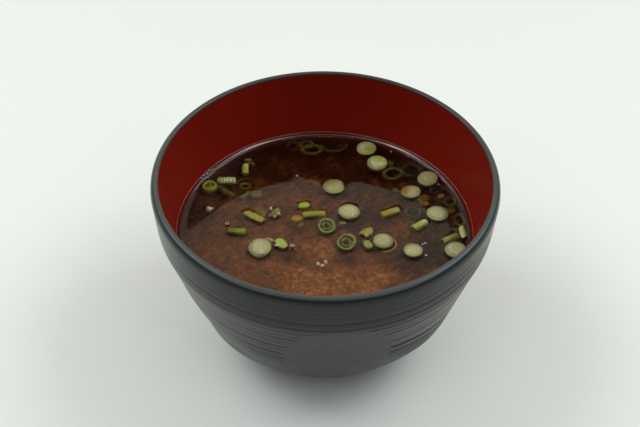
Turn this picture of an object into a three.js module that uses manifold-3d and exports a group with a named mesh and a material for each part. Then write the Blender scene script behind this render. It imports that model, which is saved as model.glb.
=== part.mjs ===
// Miso soup with sliced scallion, in a ribbed black bowl with a red inside.
// Millimetres, +Z up. The origin lies on the table, under the middle of the foot.

import * as THREE from 'three';
import { mergeVertices } from 'three/addons/utils/BufferGeometryUtils.js';
import Module from 'manifold-3d';

const wasm = await Module();
wasm.setup();

// ---- driving dimensions -------------------------------------------------------------------

const SIDES = 56;                 // facets round the bowl and the soup

const BOWL_HEIGHT = 70;
const RIM_RADIUS = 57.5;
const LIP_WIDTH = 2.7;
const LIP_OUTER_ROUND = 1.1;
const LIP_INNER_ROUND = 0.7;
const INNER_FLOOR = 7.8;          // height of the inside at the middle

const FOOT_RADIUS = 28;
const FOOT_INNER_RADIUS = 24.6;
const FOOT_RECESS = 3;            // depth of the hollow inside the foot ring
const FOOT_SIDE_TOP = 4.6;

// Outer wall, as radius at height: a foot fillet, a round belly, a straight cone and a band.
const OUTER_WALL = [
  [29.4, 5.4], [33.2, 7.4], [36.5, 10], [39.6, 13], [42.2, 16], [44.6, 20], [46.9, 25],
  [48.9, 30], [50.4, 35], [51.95, 40], [53.4, 45], [55.0, 50], [56.35, 54.5], [56.9, 60], [57.45, 67],
];
const CONE_FOOT = 18;             // ribs run from here ...
const BAND_FOOT = 64;             // ... up to the plain band under the lip

// Grooves between the ribs: height and depth.
const GROOVES = [
  [20.0, 0.20], [23.0, 0.28], [26.3, 0.26], [29.0, 0.28], [32.6, 0.34], [36.7, 0.60],
  [42.2, 0.26], [48.2, 0.34], [53.6, 0.32], [56.4, 0.34], [59.5, 0.36], [62.5, 0.14],
];
const RIB_SWELL = 0.3;            // how far a rib stands proud, as a share of its groove's depth
const RIB_SAG = 1.3;              // how far a low rib dips on its way round
const RIB_SAG_FROM = 50;          // height at which the dip starts

// Round plain field low on the front, where the ribs are smoothed away.
const FIELD_TURN = -84.5;         // degrees round from +X
const FIELD_HEIGHT = 34;
const FIELD_HALF_WIDTH = 17.5;
const FIELD_HALF_HEIGHT = 21;
const FIELD_RIB_SHARE = 0.35;     // what is left of the ribs there

// Inner wall, as radius at height, from the lip to the floor.
const INNER_WALL = [
  [54.8, 69.2], [54.2, 65], [53.3, 59], [52.1, 52.5], [50.8, 46.7], [50.2, 44.3],
  [48.1, 37], [45.6, 30], [42.3, 23], [38.6, 17.5], [34.0, 13], [28.0, 10.2], [20.0, 8.5],
];

const SOUP_LEVEL = 44.3;
const SOUP_GAP = 0.3;             // clearance to the wall and to each floating piece
const MENISCUS_RISE = 2.3;
const MENISCUS_REACH = 2.7;       // distance over which the rise falls to 1/e
const MENISCUS_STEPS = [0.8, 2, 4, 7, 11];

// White rounds of scallion: place, width, lean in degrees and its direction, oval ratio.
const WHITE_SLICES = [
  { x: 15.0, y: 43.2, across: 7.4, lean: 4, towards: 250, oval: 0.96 },
  { x: 18.9, y: 35.4, across: 7.5, lean: 6, towards: 240, oval: 1.0 },
  { x: 3.0, y: 21.9, across: 7.8, lean: 3, towards: 120, oval: 1.03 },
  { x: 8.4, y: 8.8, across: 7.7, lean: 2, towards: 300, oval: 0.96 },
  { x: 36.9, y: 26.8, across: 7.4, lean: 4, towards: 200, oval: 1.04 },
  { x: 30.6, y: 19.8, across: 7.0, lean: 7, towards: 170, oval: 1.0 },
  { x: 39.3, y: 8.7, across: 7.6, lean: 3, towards: 30, oval: 1.03 },
  { x: -21.8, y: -9.7, across: 7.9, lean: 2, towards: 220, oval: 1.12 },
  { x: 20.0, y: -5.4, across: 7.0, lean: 5, towards: 310, oval: 1.0 },
  { x: 30.0, y: -9.7, across: 6.7, lean: 2, towards: 90, oval: 1.02 },
  { x: 44.4, y: -9.4, across: 7.4, lean: 5, towards: 180, oval: 1.0 },
];
const SLICE_THICKNESS = 2.3;
const SLICE_EDGE = 0.5;
const SLICE_DOME = 0.2;
const SLICE_FREEBOARD = 0.35;     // how far a slice's rim stands out of the soup

// Open green rings, lying flat: place, width, oval ratio and turn of the long side.
const GREEN_RINGS = [
  { x: -41.4, y: 20.7, across: 5.4, oval: 1.08, turn: 60, wall: 1.1 },
  { x: 0.7, y: 1.6, across: 6.2, oval: 1.28, turn: 95, wall: 0.9 },
  { x: 7.5, y: -6.2, across: 6.6, oval: 1.26, turn: 80, wall: 0.9 },
];
const RING_THICKNESS = 2.4;
const RING_FREEBOARD = 0.35;

// Short lengths of green leaf tube, lying on their sides: middle, length, width and heading.
const STALKS = [
  { x: -35.5, y: 24.2, length: 6.6, across: 2.9, heading: 2 },
  { x: -29.2, y: 30.4, length: 5.2, across: 2.3, heading: 92 },
  { x: -30.2, y: -1.8, length: 6.4, across: 3.0, heading: -5 },
  { x: -3.9, y: 7.4, length: 8.2, across: 2.8, heading: 6 },
  { x: 22.8, y: 8.9, length: 7.0, across: 3.1, heading: 26 },
  { x: 32.9, y: 2.8, length: 5.9, across: 3.0, heading: 37 },
  { x: 42.9, y: -3.9, length: 6.2, across: 2.7, heading: 31 },
];
const STALK_WALL = 0.75;
const STALK_OUT = 0.95;           // how far a stalk stands out of the soup

// Split pieces of leaf, as curled strips: middle, length, radius of the curl and heading.
const CURLS = [
  { x: -24.5, y: 5.5, length: 7.8, radius: 1.9, arc: 150, heading: -34 },
  { x: -17.4, y: 7.3, length: 4.4, radius: 2.0, arc: 110, heading: 64 },
  { x: 14.4, y: -1.3, length: 4.2, radius: 2.3, arc: 140, heading: 48 },
  { x: 47.4, y: -1.5, length: 5.4, radius: 1.5, arc: 150, heading: 98 },
];
const CURL_THICKNESS = 0.8;
const CURL_FACETS = 6;
const CURL_OUT = 0.8;

// Bean-shaped ends of leaf: place, size and heading.
const NUBS = [
  { x: -7.4, y: 11.7, length: 4.4, across: 3.0, heading: 20 },
  { x: -14.7, y: -7.5, length: 5.4, across: 3.7, heading: -58 },
  { x: 14.7, y: -7.4, length: 4.4, across: 3.1, heading: -62 },
];
const NUB_THICKNESS = 2.4;
const NUB_OUT = 0.9;

const SLICE_SIDES = 14;
const STALK_SIDES = 10;

// ---- materials ----------------------------------------------------------------------------

const blackLacquer = new THREE.MeshStandardMaterial({ color: 0x2a2c2a, roughness: 0.42, metalness: 0 });
const misoBroth = new THREE.MeshStandardMaterial({ color: 0x4a1c0e, roughness: 0.08, metalness: 0 });
const scallionWhite = new THREE.MeshStandardMaterial({ color: 0xc2bf94, roughness: 0.4, metalness: 0 });
const scallionGreen = new THREE.MeshStandardMaterial({ color: 0x71852a, roughness: 0.35, metalness: 0 });
const scallionPale = new THREE.MeshStandardMaterial({ color: 0xa8a15c, roughness: 0.4, metalness: 0 });

// ---- helpers ------------------------------------------------------------------------------

const radians = THREE.MathUtils.degToRad;

/** Smooth radius at a height, through a list of [radius, height] that runs one way in height. */
function radiusAt(wall, height) {
  const points = wall[0][1] < wall[wall.length - 1][1] ? wall : [...wall].reverse();
  const last = points.length - 2;
  let i = points.findIndex((point) => point[1] > height) - 1;
  i = i < -1 ? last : Math.min(Math.max(i, 0), last);
  const slope = (k) => {
    const a = points[Math.max(k - 1, 0)];
    const b = points[Math.min(k + 1, points.length - 1)];
    return (b[0] - a[0]) / (b[1] - a[1]);
  };
  const [r0, z0] = points[i];
  const [r1, z1] = points[i + 1];
  const span = z1 - z0;
  const t = (height - z0) / span;
  const rise = (2 * t ** 3 - 3 * t ** 2 + 1) * r0 + (-2 * t ** 3 + 3 * t ** 2) * r1;
  return rise + span * ((t ** 3 - 2 * t ** 2 + t) * slope(i) + (t ** 3 - t ** 2) * slope(i + 1));
}

/** Geometry with its shared vertices merged, as a closed body. */
function closed(geometry) {
  geometry.deleteAttribute('normal');
  geometry.deleteAttribute('uv');
  return mergeVertices(geometry, 1e-4);
}

/** Closed profile of [radius, height] turned about the Z axis. */
function turned(profile, sides) {
  const points = profile.map(([r, z]) => new THREE.Vector2(r, z));
  return closed(new THREE.LatheGeometry(points, sides).rotateX(Math.PI / 2));
}

/** Calls edit(vertex) for each vertex and writes it back. */
function reshape(geometry, edit) {
  const position = geometry.attributes.position;
  const vertex = new THREE.Vector3();
  for (let i = 0; i < position.count; i += 1) {
    edit(vertex.fromBufferAttribute(position, i));
    position.setXYZ(i, vertex.x, vertex.y, vertex.z);
  }
  return geometry;
}

function toSolid(geometry) {
  const { position } = geometry.attributes;
  return new wasm.Manifold(new wasm.Mesh({
    numProp: 3,
    vertProperties: new Float32Array(position.array),
    triVerts: new Uint32Array(geometry.index.array),
  }));
}

function toGeometry(solid) {
  const { vertProperties, triVerts, numProp } = solid.getMesh();
  const positions = new Float32Array((vertProperties.length / numProp) * 3);
  for (let i = 0; i < positions.length / 3; i += 1) {
    positions.set(vertProperties.subarray(i * numProp, i * numProp + 3), i * 3);
  }
  const geometry = new THREE.BufferGeometry();
  geometry.setAttribute('position', new THREE.BufferAttribute(positions, 3));
  geometry.setIndex(Array.from(triVerts));
  return geometry;
}

// ---- bowl ---------------------------------------------------------------------------------

/** Height of the soup's surface at a distance from the axis, with its rise at the wall. */
function soupSurface(radius) {
  const edge = radiusAt(INNER_WALL, SOUP_LEVEL) - SOUP_GAP;
  return SOUP_LEVEL + MENISCUS_RISE * Math.exp(-Math.max(edge - radius, 0) / MENISCUS_REACH);
}

function footProfile() {
  return [
    [0, FOOT_RECESS],
    [FOOT_INNER_RADIUS - 2.4, FOOT_RECESS],
    [FOOT_INNER_RADIUS - 0.5, FOOT_RECESS - 1.2],
    [FOOT_INNER_RADIUS, 0],
    [FOOT_RADIUS - 0.5, 0],
    [FOOT_RADIUS, 0.6],
    [FOOT_RADIUS - 0.1, FOOT_SIDE_TOP],
  ];
}

/** Belly, then a row at each groove and one on each rib between two grooves, then the band. */
function wallProfile() {
  const belly = OUTER_WALL.filter(([, z]) => z < CONE_FOOT);
  const ribs = GROOVES.flatMap(([z, depth], k) => {
    const next = k + 1 < GROOVES.length ? GROOVES[k + 1][0] : BAND_FOOT;
    const crest = (z + next) / 2;
    return [
      [radiusAt(OUTER_WALL, z) - depth, z],
      [radiusAt(OUTER_WALL, crest) + depth * RIB_SWELL, crest],
    ];
  });
  return [...belly, [radiusAt(OUTER_WALL, CONE_FOOT), CONE_FOOT], ...ribs, [57.3, 66.2]];
}

function lipProfile() {
  const rows = [];
  for (const angle of [0, 45, 90]) {
    const a = radians(angle);
    rows.push([
      RIM_RADIUS - LIP_OUTER_ROUND * (1 - Math.cos(a)),
      BOWL_HEIGHT - LIP_OUTER_ROUND * (1 - Math.sin(a)),
    ]);
  }
  const inner = RIM_RADIUS - LIP_WIDTH + LIP_INNER_ROUND;
  for (const angle of [90, 135, 180]) {
    const a = radians(angle);
    rows.push([
      inner + LIP_INNER_ROUND * Math.cos(a),
      BOWL_HEIGHT - LIP_INNER_ROUND * (1 - Math.sin(a)),
    ]);
  }
  return rows;
}

/** 1 inside the round field on the front, 0 outside it. */
function insideField(x, y, z) {
  const turn = Math.atan2(y, x) - radians(FIELD_TURN);
  const across = Math.atan2(Math.sin(turn), Math.cos(turn)) * Math.hypot(x, y);
  const reach = Math.hypot(across / FIELD_HALF_WIDTH, (z - FIELD_HEIGHT) / FIELD_HALF_HEIGHT);
  return reach < 1 ? 1 : 0;
}

/** The low ribs dip a little on their way round, and fade out on the round field. */
function unevenRibs(vertex) {
  const { x, y, z } = vertex;
  const radius = Math.hypot(x, y);
  const outside = radius > radiusAt(OUTER_WALL, Math.max(z, 6)) - 1.2;
  if (!outside || z < CONE_FOOT || z > BAND_FOOT) return;
  const { smoothstep } = THREE.MathUtils;
  const low = smoothstep(RIB_SAG_FROM - z, 0, 20) * smoothstep(z, CONE_FOOT, 30);
  const dip = low * RIB_SAG * (Math.cos(2 * (Math.atan2(y, x) - radians(FIELD_TURN))) - 1) * 0.5;
  const smooth = radiusAt(OUTER_WALL, z);
  const share = insideField(x, y, z) ? FIELD_RIB_SHARE : 1;
  const target = (radiusAt(OUTER_WALL, z + dip) + (radius - smooth) * share) / radius;
  vertex.set(x * target, y * target, z + dip);
}

function makeBowl() {
  const inside = INNER_WALL.slice(1);
  const profile = [...footProfile(), ...wallProfile(), ...lipProfile(), ...inside, [0, INNER_FLOOR]];
  const mesh = new THREE.Mesh(reshape(turned(profile, SIDES), unevenRibs), blackLacquer);
  mesh.name = 'bowl';
  return mesh;
}

// ---- scallion -----------------------------------------------------------------------------

// Each shape takes grow, a swelling on every side. With it the shape is the pocket in the soup,
// which leaves out the soft edges.

/** Round slice with softened edges and a slightly domed top. */
function sliceGeometry({ across, oval }, grow = 0) {
  const r = across / 2 + grow;
  const half = SLICE_THICKNESS / 2 + grow;
  const edge = SLICE_EDGE;
  const slice = [
    [0, -half], [r - edge * 1.6, -half], [r, -half + edge], [r, half - edge], [r - edge * 1.6, half],
    [0, half + SLICE_DOME],
  ];
  const drum = [[0, -half], [r, -half], [r, half], [0, half]];
  return turned(grow ? drum : slice, SLICE_SIDES).scale(1, oval, 1);
}

/** Ring with a rounded section, stretched along its first axis. */
function ringGeometry({ across, oval, wall }, grow = 0) {
  const outer = across / 2 + grow;
  const inner = across / 2 - wall - grow;
  const half = RING_THICKNESS / 2 + grow;
  const soft = wall * 0.35;
  const ring = [
    [inner, -half + soft], [inner + soft, -half], [outer - soft, -half], [outer, -half + soft],
    [outer, half - soft], [outer - soft, half], [inner + soft, half], [inner, half - soft],
    [inner, -half + soft],
  ];
  const trench = [[inner, -half], [outer, -half], [outer, half], [inner, half], [inner, -half]];
  return turned(grow ? trench : ring, SLICE_SIDES).scale(oval, 1, 1);
}

/** Length of hollow leaf, lying along X. */
function stalkGeometry({ length, across }, grow = 0) {
  const outer = across / 2 + grow;
  const half = length / 2 + grow;
  const inner = across / 2 - STALK_WALL;
  const tube = [
    [inner, -half], [outer - 0.15, -half], [outer, -half + 0.5], [outer, half - 0.5],
    [outer - 0.15, half], [inner, half], [inner, -half],
  ];
  const bar = [[0, -half], [outer, -half], [outer, half], [0, half]];
  return turned(grow ? bar : tube, STALK_SIDES).rotateY(Math.PI / 2);
}

/** Strip of leaf, curled about X with its back up. */
function curlGeometry({ length, radius, arc }, grow = 0) {
  const outer = radius + grow;
  const inner = radius - CURL_THICKNESS - grow;
  const spread = radians(arc / 2) + grow / radius;
  const section = new THREE.Shape();
  for (let i = 0; i <= CURL_FACETS; i += 1) {
    const a = Math.PI / 2 + spread * (1 - (2 * i) / CURL_FACETS);
    section[i ? 'lineTo' : 'moveTo'](outer * Math.cos(a), outer * Math.sin(a));
  }
  for (let i = CURL_FACETS; i >= 0; i -= 1) {
    const a = Math.PI / 2 + spread * (1 - (2 * i) / CURL_FACETS);
    section.lineTo(inner * Math.cos(a), inner * Math.sin(a));
  }
  const depth = length + 2 * grow;
  const body = new THREE.ExtrudeGeometry(section, { depth, bevelEnabled: false, steps: 1 });
  return closed(body).translate(0, -radius, -depth / 2).rotateX(Math.PI / 2).rotateZ(Math.PI / 2);
}

/** Bean-shaped lump, long along X. */
function nubGeometry({ length, across }, grow = 0) {
  const r = across / 2 + grow;
  const half = NUB_THICKNESS / 2 + grow;
  const profile = [[0, -half], [r * 0.7, -half * 0.8], [r, 0], [r * 0.7, half * 0.8], [0, half]];
  return turned(profile, STALK_SIDES).scale((length / 2 + grow) / r, 1, 1);
}

/** Where each kind of piece lies: its middle's height beside the surface, and its turns. */
const KINDS = {
  white_slice: {
    rows: WHITE_SLICES,
    geometry: sliceGeometry,
    material: scallionWhite,
    middle: () => SLICE_FREEBOARD - SLICE_THICKNESS / 2,
    pose: ({ lean, towards }) => new THREE.Euler(-radians(lean) * Math.sin(radians(towards)),
      radians(lean) * Math.cos(radians(towards)), 0),
  },
  green_ring: {
    rows: GREEN_RINGS,
    geometry: ringGeometry,
    material: scallionGreen,
    middle: () => RING_FREEBOARD - RING_THICKNESS / 2,
    pose: ({ turn }) => new THREE.Euler(0, 0, radians(turn)),
  },
  stalk: {
    rows: STALKS,
    geometry: stalkGeometry,
    material: scallionGreen,
    middle: ({ across }) => STALK_OUT - across / 2,
    pose: ({ heading }) => new THREE.Euler(0, 0, radians(heading)),
  },
  curl: {
    rows: CURLS,
    geometry: curlGeometry,
    material: scallionPale,
    middle: () => CURL_OUT,
    pose: ({ heading }) => new THREE.Euler(0, 0, radians(heading)),
  },
  nub: {
    rows: NUBS,
    geometry: nubGeometry,
    material: scallionGreen,
    middle: () => NUB_OUT - NUB_THICKNESS / 2,
    pose: ({ heading }) => new THREE.Euler(0, 0, radians(heading)),
  },
};

/** One named mesh for each piece, and beside it the pocket that it leaves in the soup. */
function makeScallion() {
  const pieces = [];
  const pockets = [];
  for (const [kind, { rows, geometry, material, middle, pose }] of Object.entries(KINDS)) {
    rows.forEach((row, index) => {
      const mesh = new THREE.Mesh(geometry(row), material);
      mesh.name = `${kind}_${String(index + 1).padStart(2, '0')}`;
      mesh.position.set(row.x, row.y, soupSurface(Math.hypot(row.x, row.y)) + middle(row));
      mesh.rotation.copy(pose(row));
      mesh.updateMatrix();
      pieces.push(mesh);
      pockets.push(toSolid(geometry(row, SOUP_GAP).applyMatrix4(mesh.matrix)));
    });
  }
  return { pieces, pockets };
}

// ---- soup ---------------------------------------------------------------------------------

/** Soup up to its level, a clearance inside the wall, with a pocket for each piece. */
function makeSoup(pockets) {
  const top = SOUP_LEVEL + MENISCUS_RISE;
  const sunk = INNER_WALL.filter(([, z]) => z < SOUP_LEVEL).reverse();
  const below = sunk.map(([r, z]) => [r - SOUP_GAP, z + SOUP_GAP * 0.4]);
  const edge = radiusAt(INNER_WALL, top) - SOUP_GAP;
  const surface = MENISCUS_STEPS.map((step) => [edge - step, soupSurface(edge - step)]);
  const profile = [[0, INNER_FLOOR + SOUP_GAP], ...below, [edge, top], ...surface, [0, SOUP_LEVEL]];
  let solid = toSolid(turned(profile, SIDES));
  for (const pocket of pockets) solid = solid.subtract(pocket);
  const mesh = new THREE.Mesh(toGeometry(solid), misoBroth);
  mesh.name = 'soup';
  return mesh;
}

// ---- assembly -----------------------------------------------------------------------------

const { pieces, pockets } = makeScallion();
const misoSoup = new THREE.Group();
misoSoup.add(makeBowl(), makeSoup(pockets), ...pieces);

export default misoSoup;
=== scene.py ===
"""Miso soup with sliced scallion in a ribbed lacquer bowl: fine surfaces, finishes, light and camera.

Sizes are written in millimetres, as a maker would note them, and become metres when a mesh is made.
"""

import logging
import math
from dataclasses import dataclass, field
from enum import Enum
from types import MappingProxyType
from typing import Mapping, Sequence, Union

import bpy
import numpy as np
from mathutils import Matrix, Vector


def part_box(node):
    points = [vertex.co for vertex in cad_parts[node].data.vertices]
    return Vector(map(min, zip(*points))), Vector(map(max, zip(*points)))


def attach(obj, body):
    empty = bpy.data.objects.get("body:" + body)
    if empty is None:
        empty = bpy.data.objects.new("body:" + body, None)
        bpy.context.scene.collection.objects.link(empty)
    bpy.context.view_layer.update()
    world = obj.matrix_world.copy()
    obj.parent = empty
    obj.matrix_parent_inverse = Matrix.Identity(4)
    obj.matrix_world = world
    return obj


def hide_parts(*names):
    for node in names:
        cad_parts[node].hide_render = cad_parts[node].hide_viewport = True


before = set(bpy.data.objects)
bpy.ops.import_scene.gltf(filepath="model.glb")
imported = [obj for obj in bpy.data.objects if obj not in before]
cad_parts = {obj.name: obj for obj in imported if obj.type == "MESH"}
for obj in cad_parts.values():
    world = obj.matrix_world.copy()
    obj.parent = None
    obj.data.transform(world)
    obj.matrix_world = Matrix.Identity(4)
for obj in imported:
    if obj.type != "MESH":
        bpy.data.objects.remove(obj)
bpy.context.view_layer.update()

LOG = logging.getLogger("miso_soup")
BODY = "root"
MM = 0.001
TURN = 2 * math.pi

NOTHING = MappingProxyType({})

Colour = tuple[float, float, float, float]
Point = tuple[float, float]
Triple = tuple[float, float, float]


class Slot(Enum):
    """Material slots of the record, by name."""

    LACQUER = "lacquer"
    BROTH = "broth"
    CLOUD = "miso_cloud"
    WHITE = "scallion_white"
    GREEN = "scallion_green"
    PALE = "scallion_pale"
    BUBBLE = "bubble"


# ---- numbers ----


def smoothstep(value: np.ndarray, low: float, high: float) -> np.ndarray:
    """Eased step from 0 at low to 1 at high, which may lie below low: t squared times (3 - 2t)."""
    t = np.clip((value - low) / (high - low), 0, 1)
    return t * t * (3 - 2 * t)


def bell(value: np.ndarray, middle: float, spread: float, power: int = 2) -> np.ndarray:
    """Bell that is 1 at the middle: e to minus the given power of distance over spread."""
    return np.exp(-(((value - middle) / spread) ** power))


def in_degrees(turn: np.ndarray) -> np.ndarray:
    """The same angles in degrees, from -180 to 180."""
    return np.degrees(np.angle(np.exp(1j * turn)))


def wobble(angle: np.ndarray, seed: int, orders: Sequence[int] = (2, 3, 4, 5)) -> np.ndarray:
    """Random closed wave, within about 1 of zero: a sum of cosines of whole multiples of the angle.

    Args:
        angle: Angles in radians.
        seed: Seed of the random phases and weights.
        orders: Waves in a full turn, one for each cosine.

    Returns:
        The wave at each angle.
    """
    draw = np.random.default_rng(seed)
    total = np.zeros_like(angle)
    for order in orders:
        total += draw.uniform(0.4, 1.0) * np.cos(order * angle + draw.uniform(0, TURN))
    return total / (0.7 * len(orders))


def billow(x: np.ndarray, y: np.ndarray, seed: int, length: float, count: int = 14) -> np.ndarray:
    """Random rolling field, mostly within 1 of zero: a sum of plane waves in random headings.

    Args:
        x: Places along X.
        y: Places along Y.
        seed: Seed of the headings, lengths and phases.
        length: Typical wave length.
        count: How many waves are summed.

    Returns:
        The field at each place.
    """
    draw = np.random.default_rng(seed)
    total = np.zeros_like(x)
    for _ in range(count):
        heading = draw.uniform(0, TURN)
        reach = length * draw.uniform(0.6, 1.7) / TURN
        along = (x * math.cos(heading) + y * math.sin(heading)) / reach
        total += np.cos(along + draw.uniform(0, TURN))
    return total / math.sqrt(count)


def smooth_radius(wall: Sequence[Point], height: np.ndarray) -> np.ndarray:
    """Radius at each height on a smooth wall through a few [radius, height] points.

    Between two points the radius is the cubic that meets both, with the slope at a point taken
    from its neighbour below to its neighbour above.

    Args:
        wall: The points of the wall.
        height: Heights at which the radius is wanted.

    Returns:
        The radius at each height.
    """
    radius, level = np.array(sorted(wall, key=lambda point: point[1])).T
    last = len(level) - 1
    step = np.arange(last + 1)
    above, below = np.minimum(step + 1, last), np.maximum(step - 1, 0)
    slope = (radius[above] - radius[below]) / (level[above] - level[below])
    i = np.clip(np.searchsorted(level, height, side="right") - 1, 0, last - 1)
    span = level[i + 1] - level[i]
    t = (height - level[i]) / span
    met = (2 * t**3 - 3 * t**2 + 1) * radius[i] + (3 * t**2 - 2 * t**3) * radius[i + 1]
    return met + span * ((t**3 - 2 * t**2 + t) * slope[i] + (t**3 - t**2) * slope[i + 1])


def arc(
    middle: Point, radius: float, start: float, end: float, count: int, tall: float = 1.0
) -> np.ndarray:
    """Points on an arc of a circle or an upright ellipse in the profile plane.

    Args:
        middle: Centre as radius and height.
        radius: Radius of the arc.
        start: First angle in degrees, from outward.
        end: Last angle in degrees.
        count: Number of points.
        tall: Upright radius as a share of the other.

    Returns:
        Array of [radius, height] points.
    """
    angle = np.radians(np.linspace(start, end, count))
    across, up = radius * np.cos(angle), radius * tall * np.sin(angle)
    return np.stack([middle[0] + across, middle[1] + up], axis=1)


# ---- surfaces ----


@dataclass
class Skin:
    """A closed surface in millimetres, with numbers kept at its points for the finish to read."""

    points: np.ndarray
    quads: np.ndarray
    triangles: np.ndarray
    traits: dict[str, np.ndarray] = field(default_factory=dict)

    def outward(self) -> "Skin":
        """Turns all faces over if the volume that they enclose is negative.

        The volume is a sixth of the sum of each triangle's corners multiplied as a box.

        Returns:
            The same skin.
        """
        halves = [self.quads[:, [0, 1, 2]], self.quads[:, [0, 2, 3]], self.triangles]
        a, b, c = (self.points[np.concatenate(halves)[:, k]] for k in range(3))
        if np.einsum("ij,ij->", a, np.cross(b, c)) < 0:
            self.quads = self.quads[:, ::-1]
            self.triangles = self.triangles[:, ::-1]
        return self

    def placed(
        self, spot: np.ndarray, heading: float = 0.0, pitch: float = 0.0, roll: float = 0.0
    ) -> "Skin":
        """Turns the skin about X, then Y, then Z, and moves it.

        Args:
            spot: Where its own origin goes.
            heading: Turn about Z in degrees.
            pitch: Turn about Y in degrees.
            roll: Turn about X in degrees.

        Returns:
            The same skin.
        """
        about_x, about_y, about_z = np.radians([roll, pitch, heading])
        cx, sx, cy, sy = math.cos(about_x), math.sin(about_x), math.cos(about_y), math.sin(about_y)
        cz, sz = math.cos(about_z), math.sin(about_z)
        turn_x = np.array([[1, 0, 0], [0, cx, -sx], [0, sx, cx]])
        turn_y = np.array([[cy, 0, sy], [0, 1, 0], [-sy, 0, cy]])
        turn_z = np.array([[cz, -sz, 0], [sz, cz, 0], [0, 0, 1]])
        self.points = self.points @ (turn_z @ turn_y @ turn_x).T + np.asarray(spot)
        return self


def joined(skins: Sequence[Skin]) -> Skin:
    """One skin that holds several, each still closed in itself.

    Args:
        skins: The skins, all with the same traits.

    Returns:
        The joined skin.
    """
    starts = np.cumsum([0] + [len(skin.points) for skin in skins[:-1]])
    return Skin(
        np.concatenate([skin.points for skin in skins]),
        np.concatenate([skin.quads + start for skin, start in zip(skins, starts)]),
        np.concatenate([skin.triangles + start for skin, start in zip(skins, starts)]),
        {name: np.concatenate([skin.traits[name] for skin in skins]) for name in skins[0].traits},
    )


def loft(
    sections: np.ndarray, traits: Union[dict[str, np.ndarray], None] = None, ring: bool = False
) -> Skin:
    """Closed surface over a row of closed loops.

    Point j of loop i is joined to point j + 1 and to point j of loop i + 1. A ring joins its last
    loop to its first. Otherwise a fan of triangles to the middle of the loop closes each end.

    Args:
        sections: Array of loops by points by three.
        traits: Arrays of loops by points, by name.
        ring: True to join the last loop to the first.

    Returns:
        The surface, its faces pointing outwards.
    """
    rows, sides, _ = sections.shape
    index = np.arange(rows * sides).reshape(rows, sides)
    here, there = (index, np.roll(index, -1, axis=0)) if ring else (index[:-1], index[1:])
    corners = [here, np.roll(here, -1, axis=1), np.roll(there, -1, axis=1), there]
    quads = np.stack(corners, axis=-1).reshape(-1, 4)
    points = sections.reshape(-1, 3)
    values = {name: value.reshape(-1) for name, value in (traits or {}).items()}
    if ring:
        return Skin(points, quads, np.zeros((0, 3), dtype=int), values).outward()
    points = np.concatenate([points, sections[[0, -1]].mean(axis=1)])
    for name, value in (traits or {}).items():
        values[name] = np.concatenate([values[name], value[[0, -1]].mean(axis=1)])
    first, last = index[0], index[-1]
    start = np.stack([np.full(sides, rows * sides), np.roll(first, -1), first], axis=-1)
    end = np.stack([np.full(sides, rows * sides + 1), last, np.roll(last, -1)], axis=-1)
    return Skin(points, quads, np.concatenate([start, end]), values).outward()


def spun(profile: np.ndarray, sides: int, shown: float = 1.0) -> tuple[np.ndarray, np.ndarray]:
    """Loops round the Z axis, one for each [radius, height] point of a profile.

    Args:
        profile: Array of points.
        sides: Points in each loop.
        shown: Share of a full turn that the loops run through.

    Returns:
        The loops, and the angle of each of their points.
    """
    angle = np.arange(sides) * TURN / sides if shown == 1 else np.linspace(0, shown * TURN, sides)
    radius, height = profile[:, :1], profile[:, 1:]
    shape = (len(profile), sides)
    loops = [radius * np.cos(angle), radius * np.sin(angle), np.broadcast_to(height, shape)]
    return np.stack(loops, axis=-1), np.broadcast_to(angle, shape)


def settle(
    name: str,
    skin: Skin,
    materials: Sequence[bpy.types.Material],
    nodes: Sequence[str] = (),
    zone: Union[str, None] = None,
) -> None:
    """Makes a skin a piece of the scene that rides with the bowl.

    Args:
        name: Name of the piece.
        skin: Its surface.
        materials: Its finish, and after it the finish of its zone.
        nodes: Frame nodes that it stands for.
        zone: Trait that is above a half where the second finish goes.
    """
    mesh = bpy.data.meshes.new(name)
    faces = skin.quads.tolist() + skin.triangles.tolist()
    mesh.from_pydata((skin.points * MM).tolist(), [], faces)
    mesh.polygons.foreach_set("use_smooth", np.ones(len(faces), dtype=bool))
    for trait, values in skin.traits.items():
        mesh.attributes.new(trait, "FLOAT", "POINT").data.foreach_set("value", values.astype(np.float32))
    for material in materials:
        mesh.materials.append(material)
    if zone:
        level = skin.traits[zone]
        shares = np.concatenate([level[skin.quads].mean(axis=1), level[skin.triangles].mean(axis=1)])
        mesh.polygons.foreach_set("material_index", (shares > 0.5).astype(np.int32))
    mesh.update()
    piece = bpy.data.objects.new(name, mesh)
    bpy.context.scene.collection.objects.link(piece)
    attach(piece, BODY)
    if nodes:
        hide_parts(*nodes)
    LOG.info("%s: %d points, %d faces", name, len(skin.points), len(faces))


def middle_of(node: str) -> np.ndarray:
    """Middle of a frame node's box, in millimetres."""
    low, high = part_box(node)
    return (np.array(low) + np.array(high)) / 2 / MM


def top_of(node: str) -> float:
    """Highest point of a frame node, in millimetres."""
    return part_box(node)[1][2] / MM


# ---- shader maths ----


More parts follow.
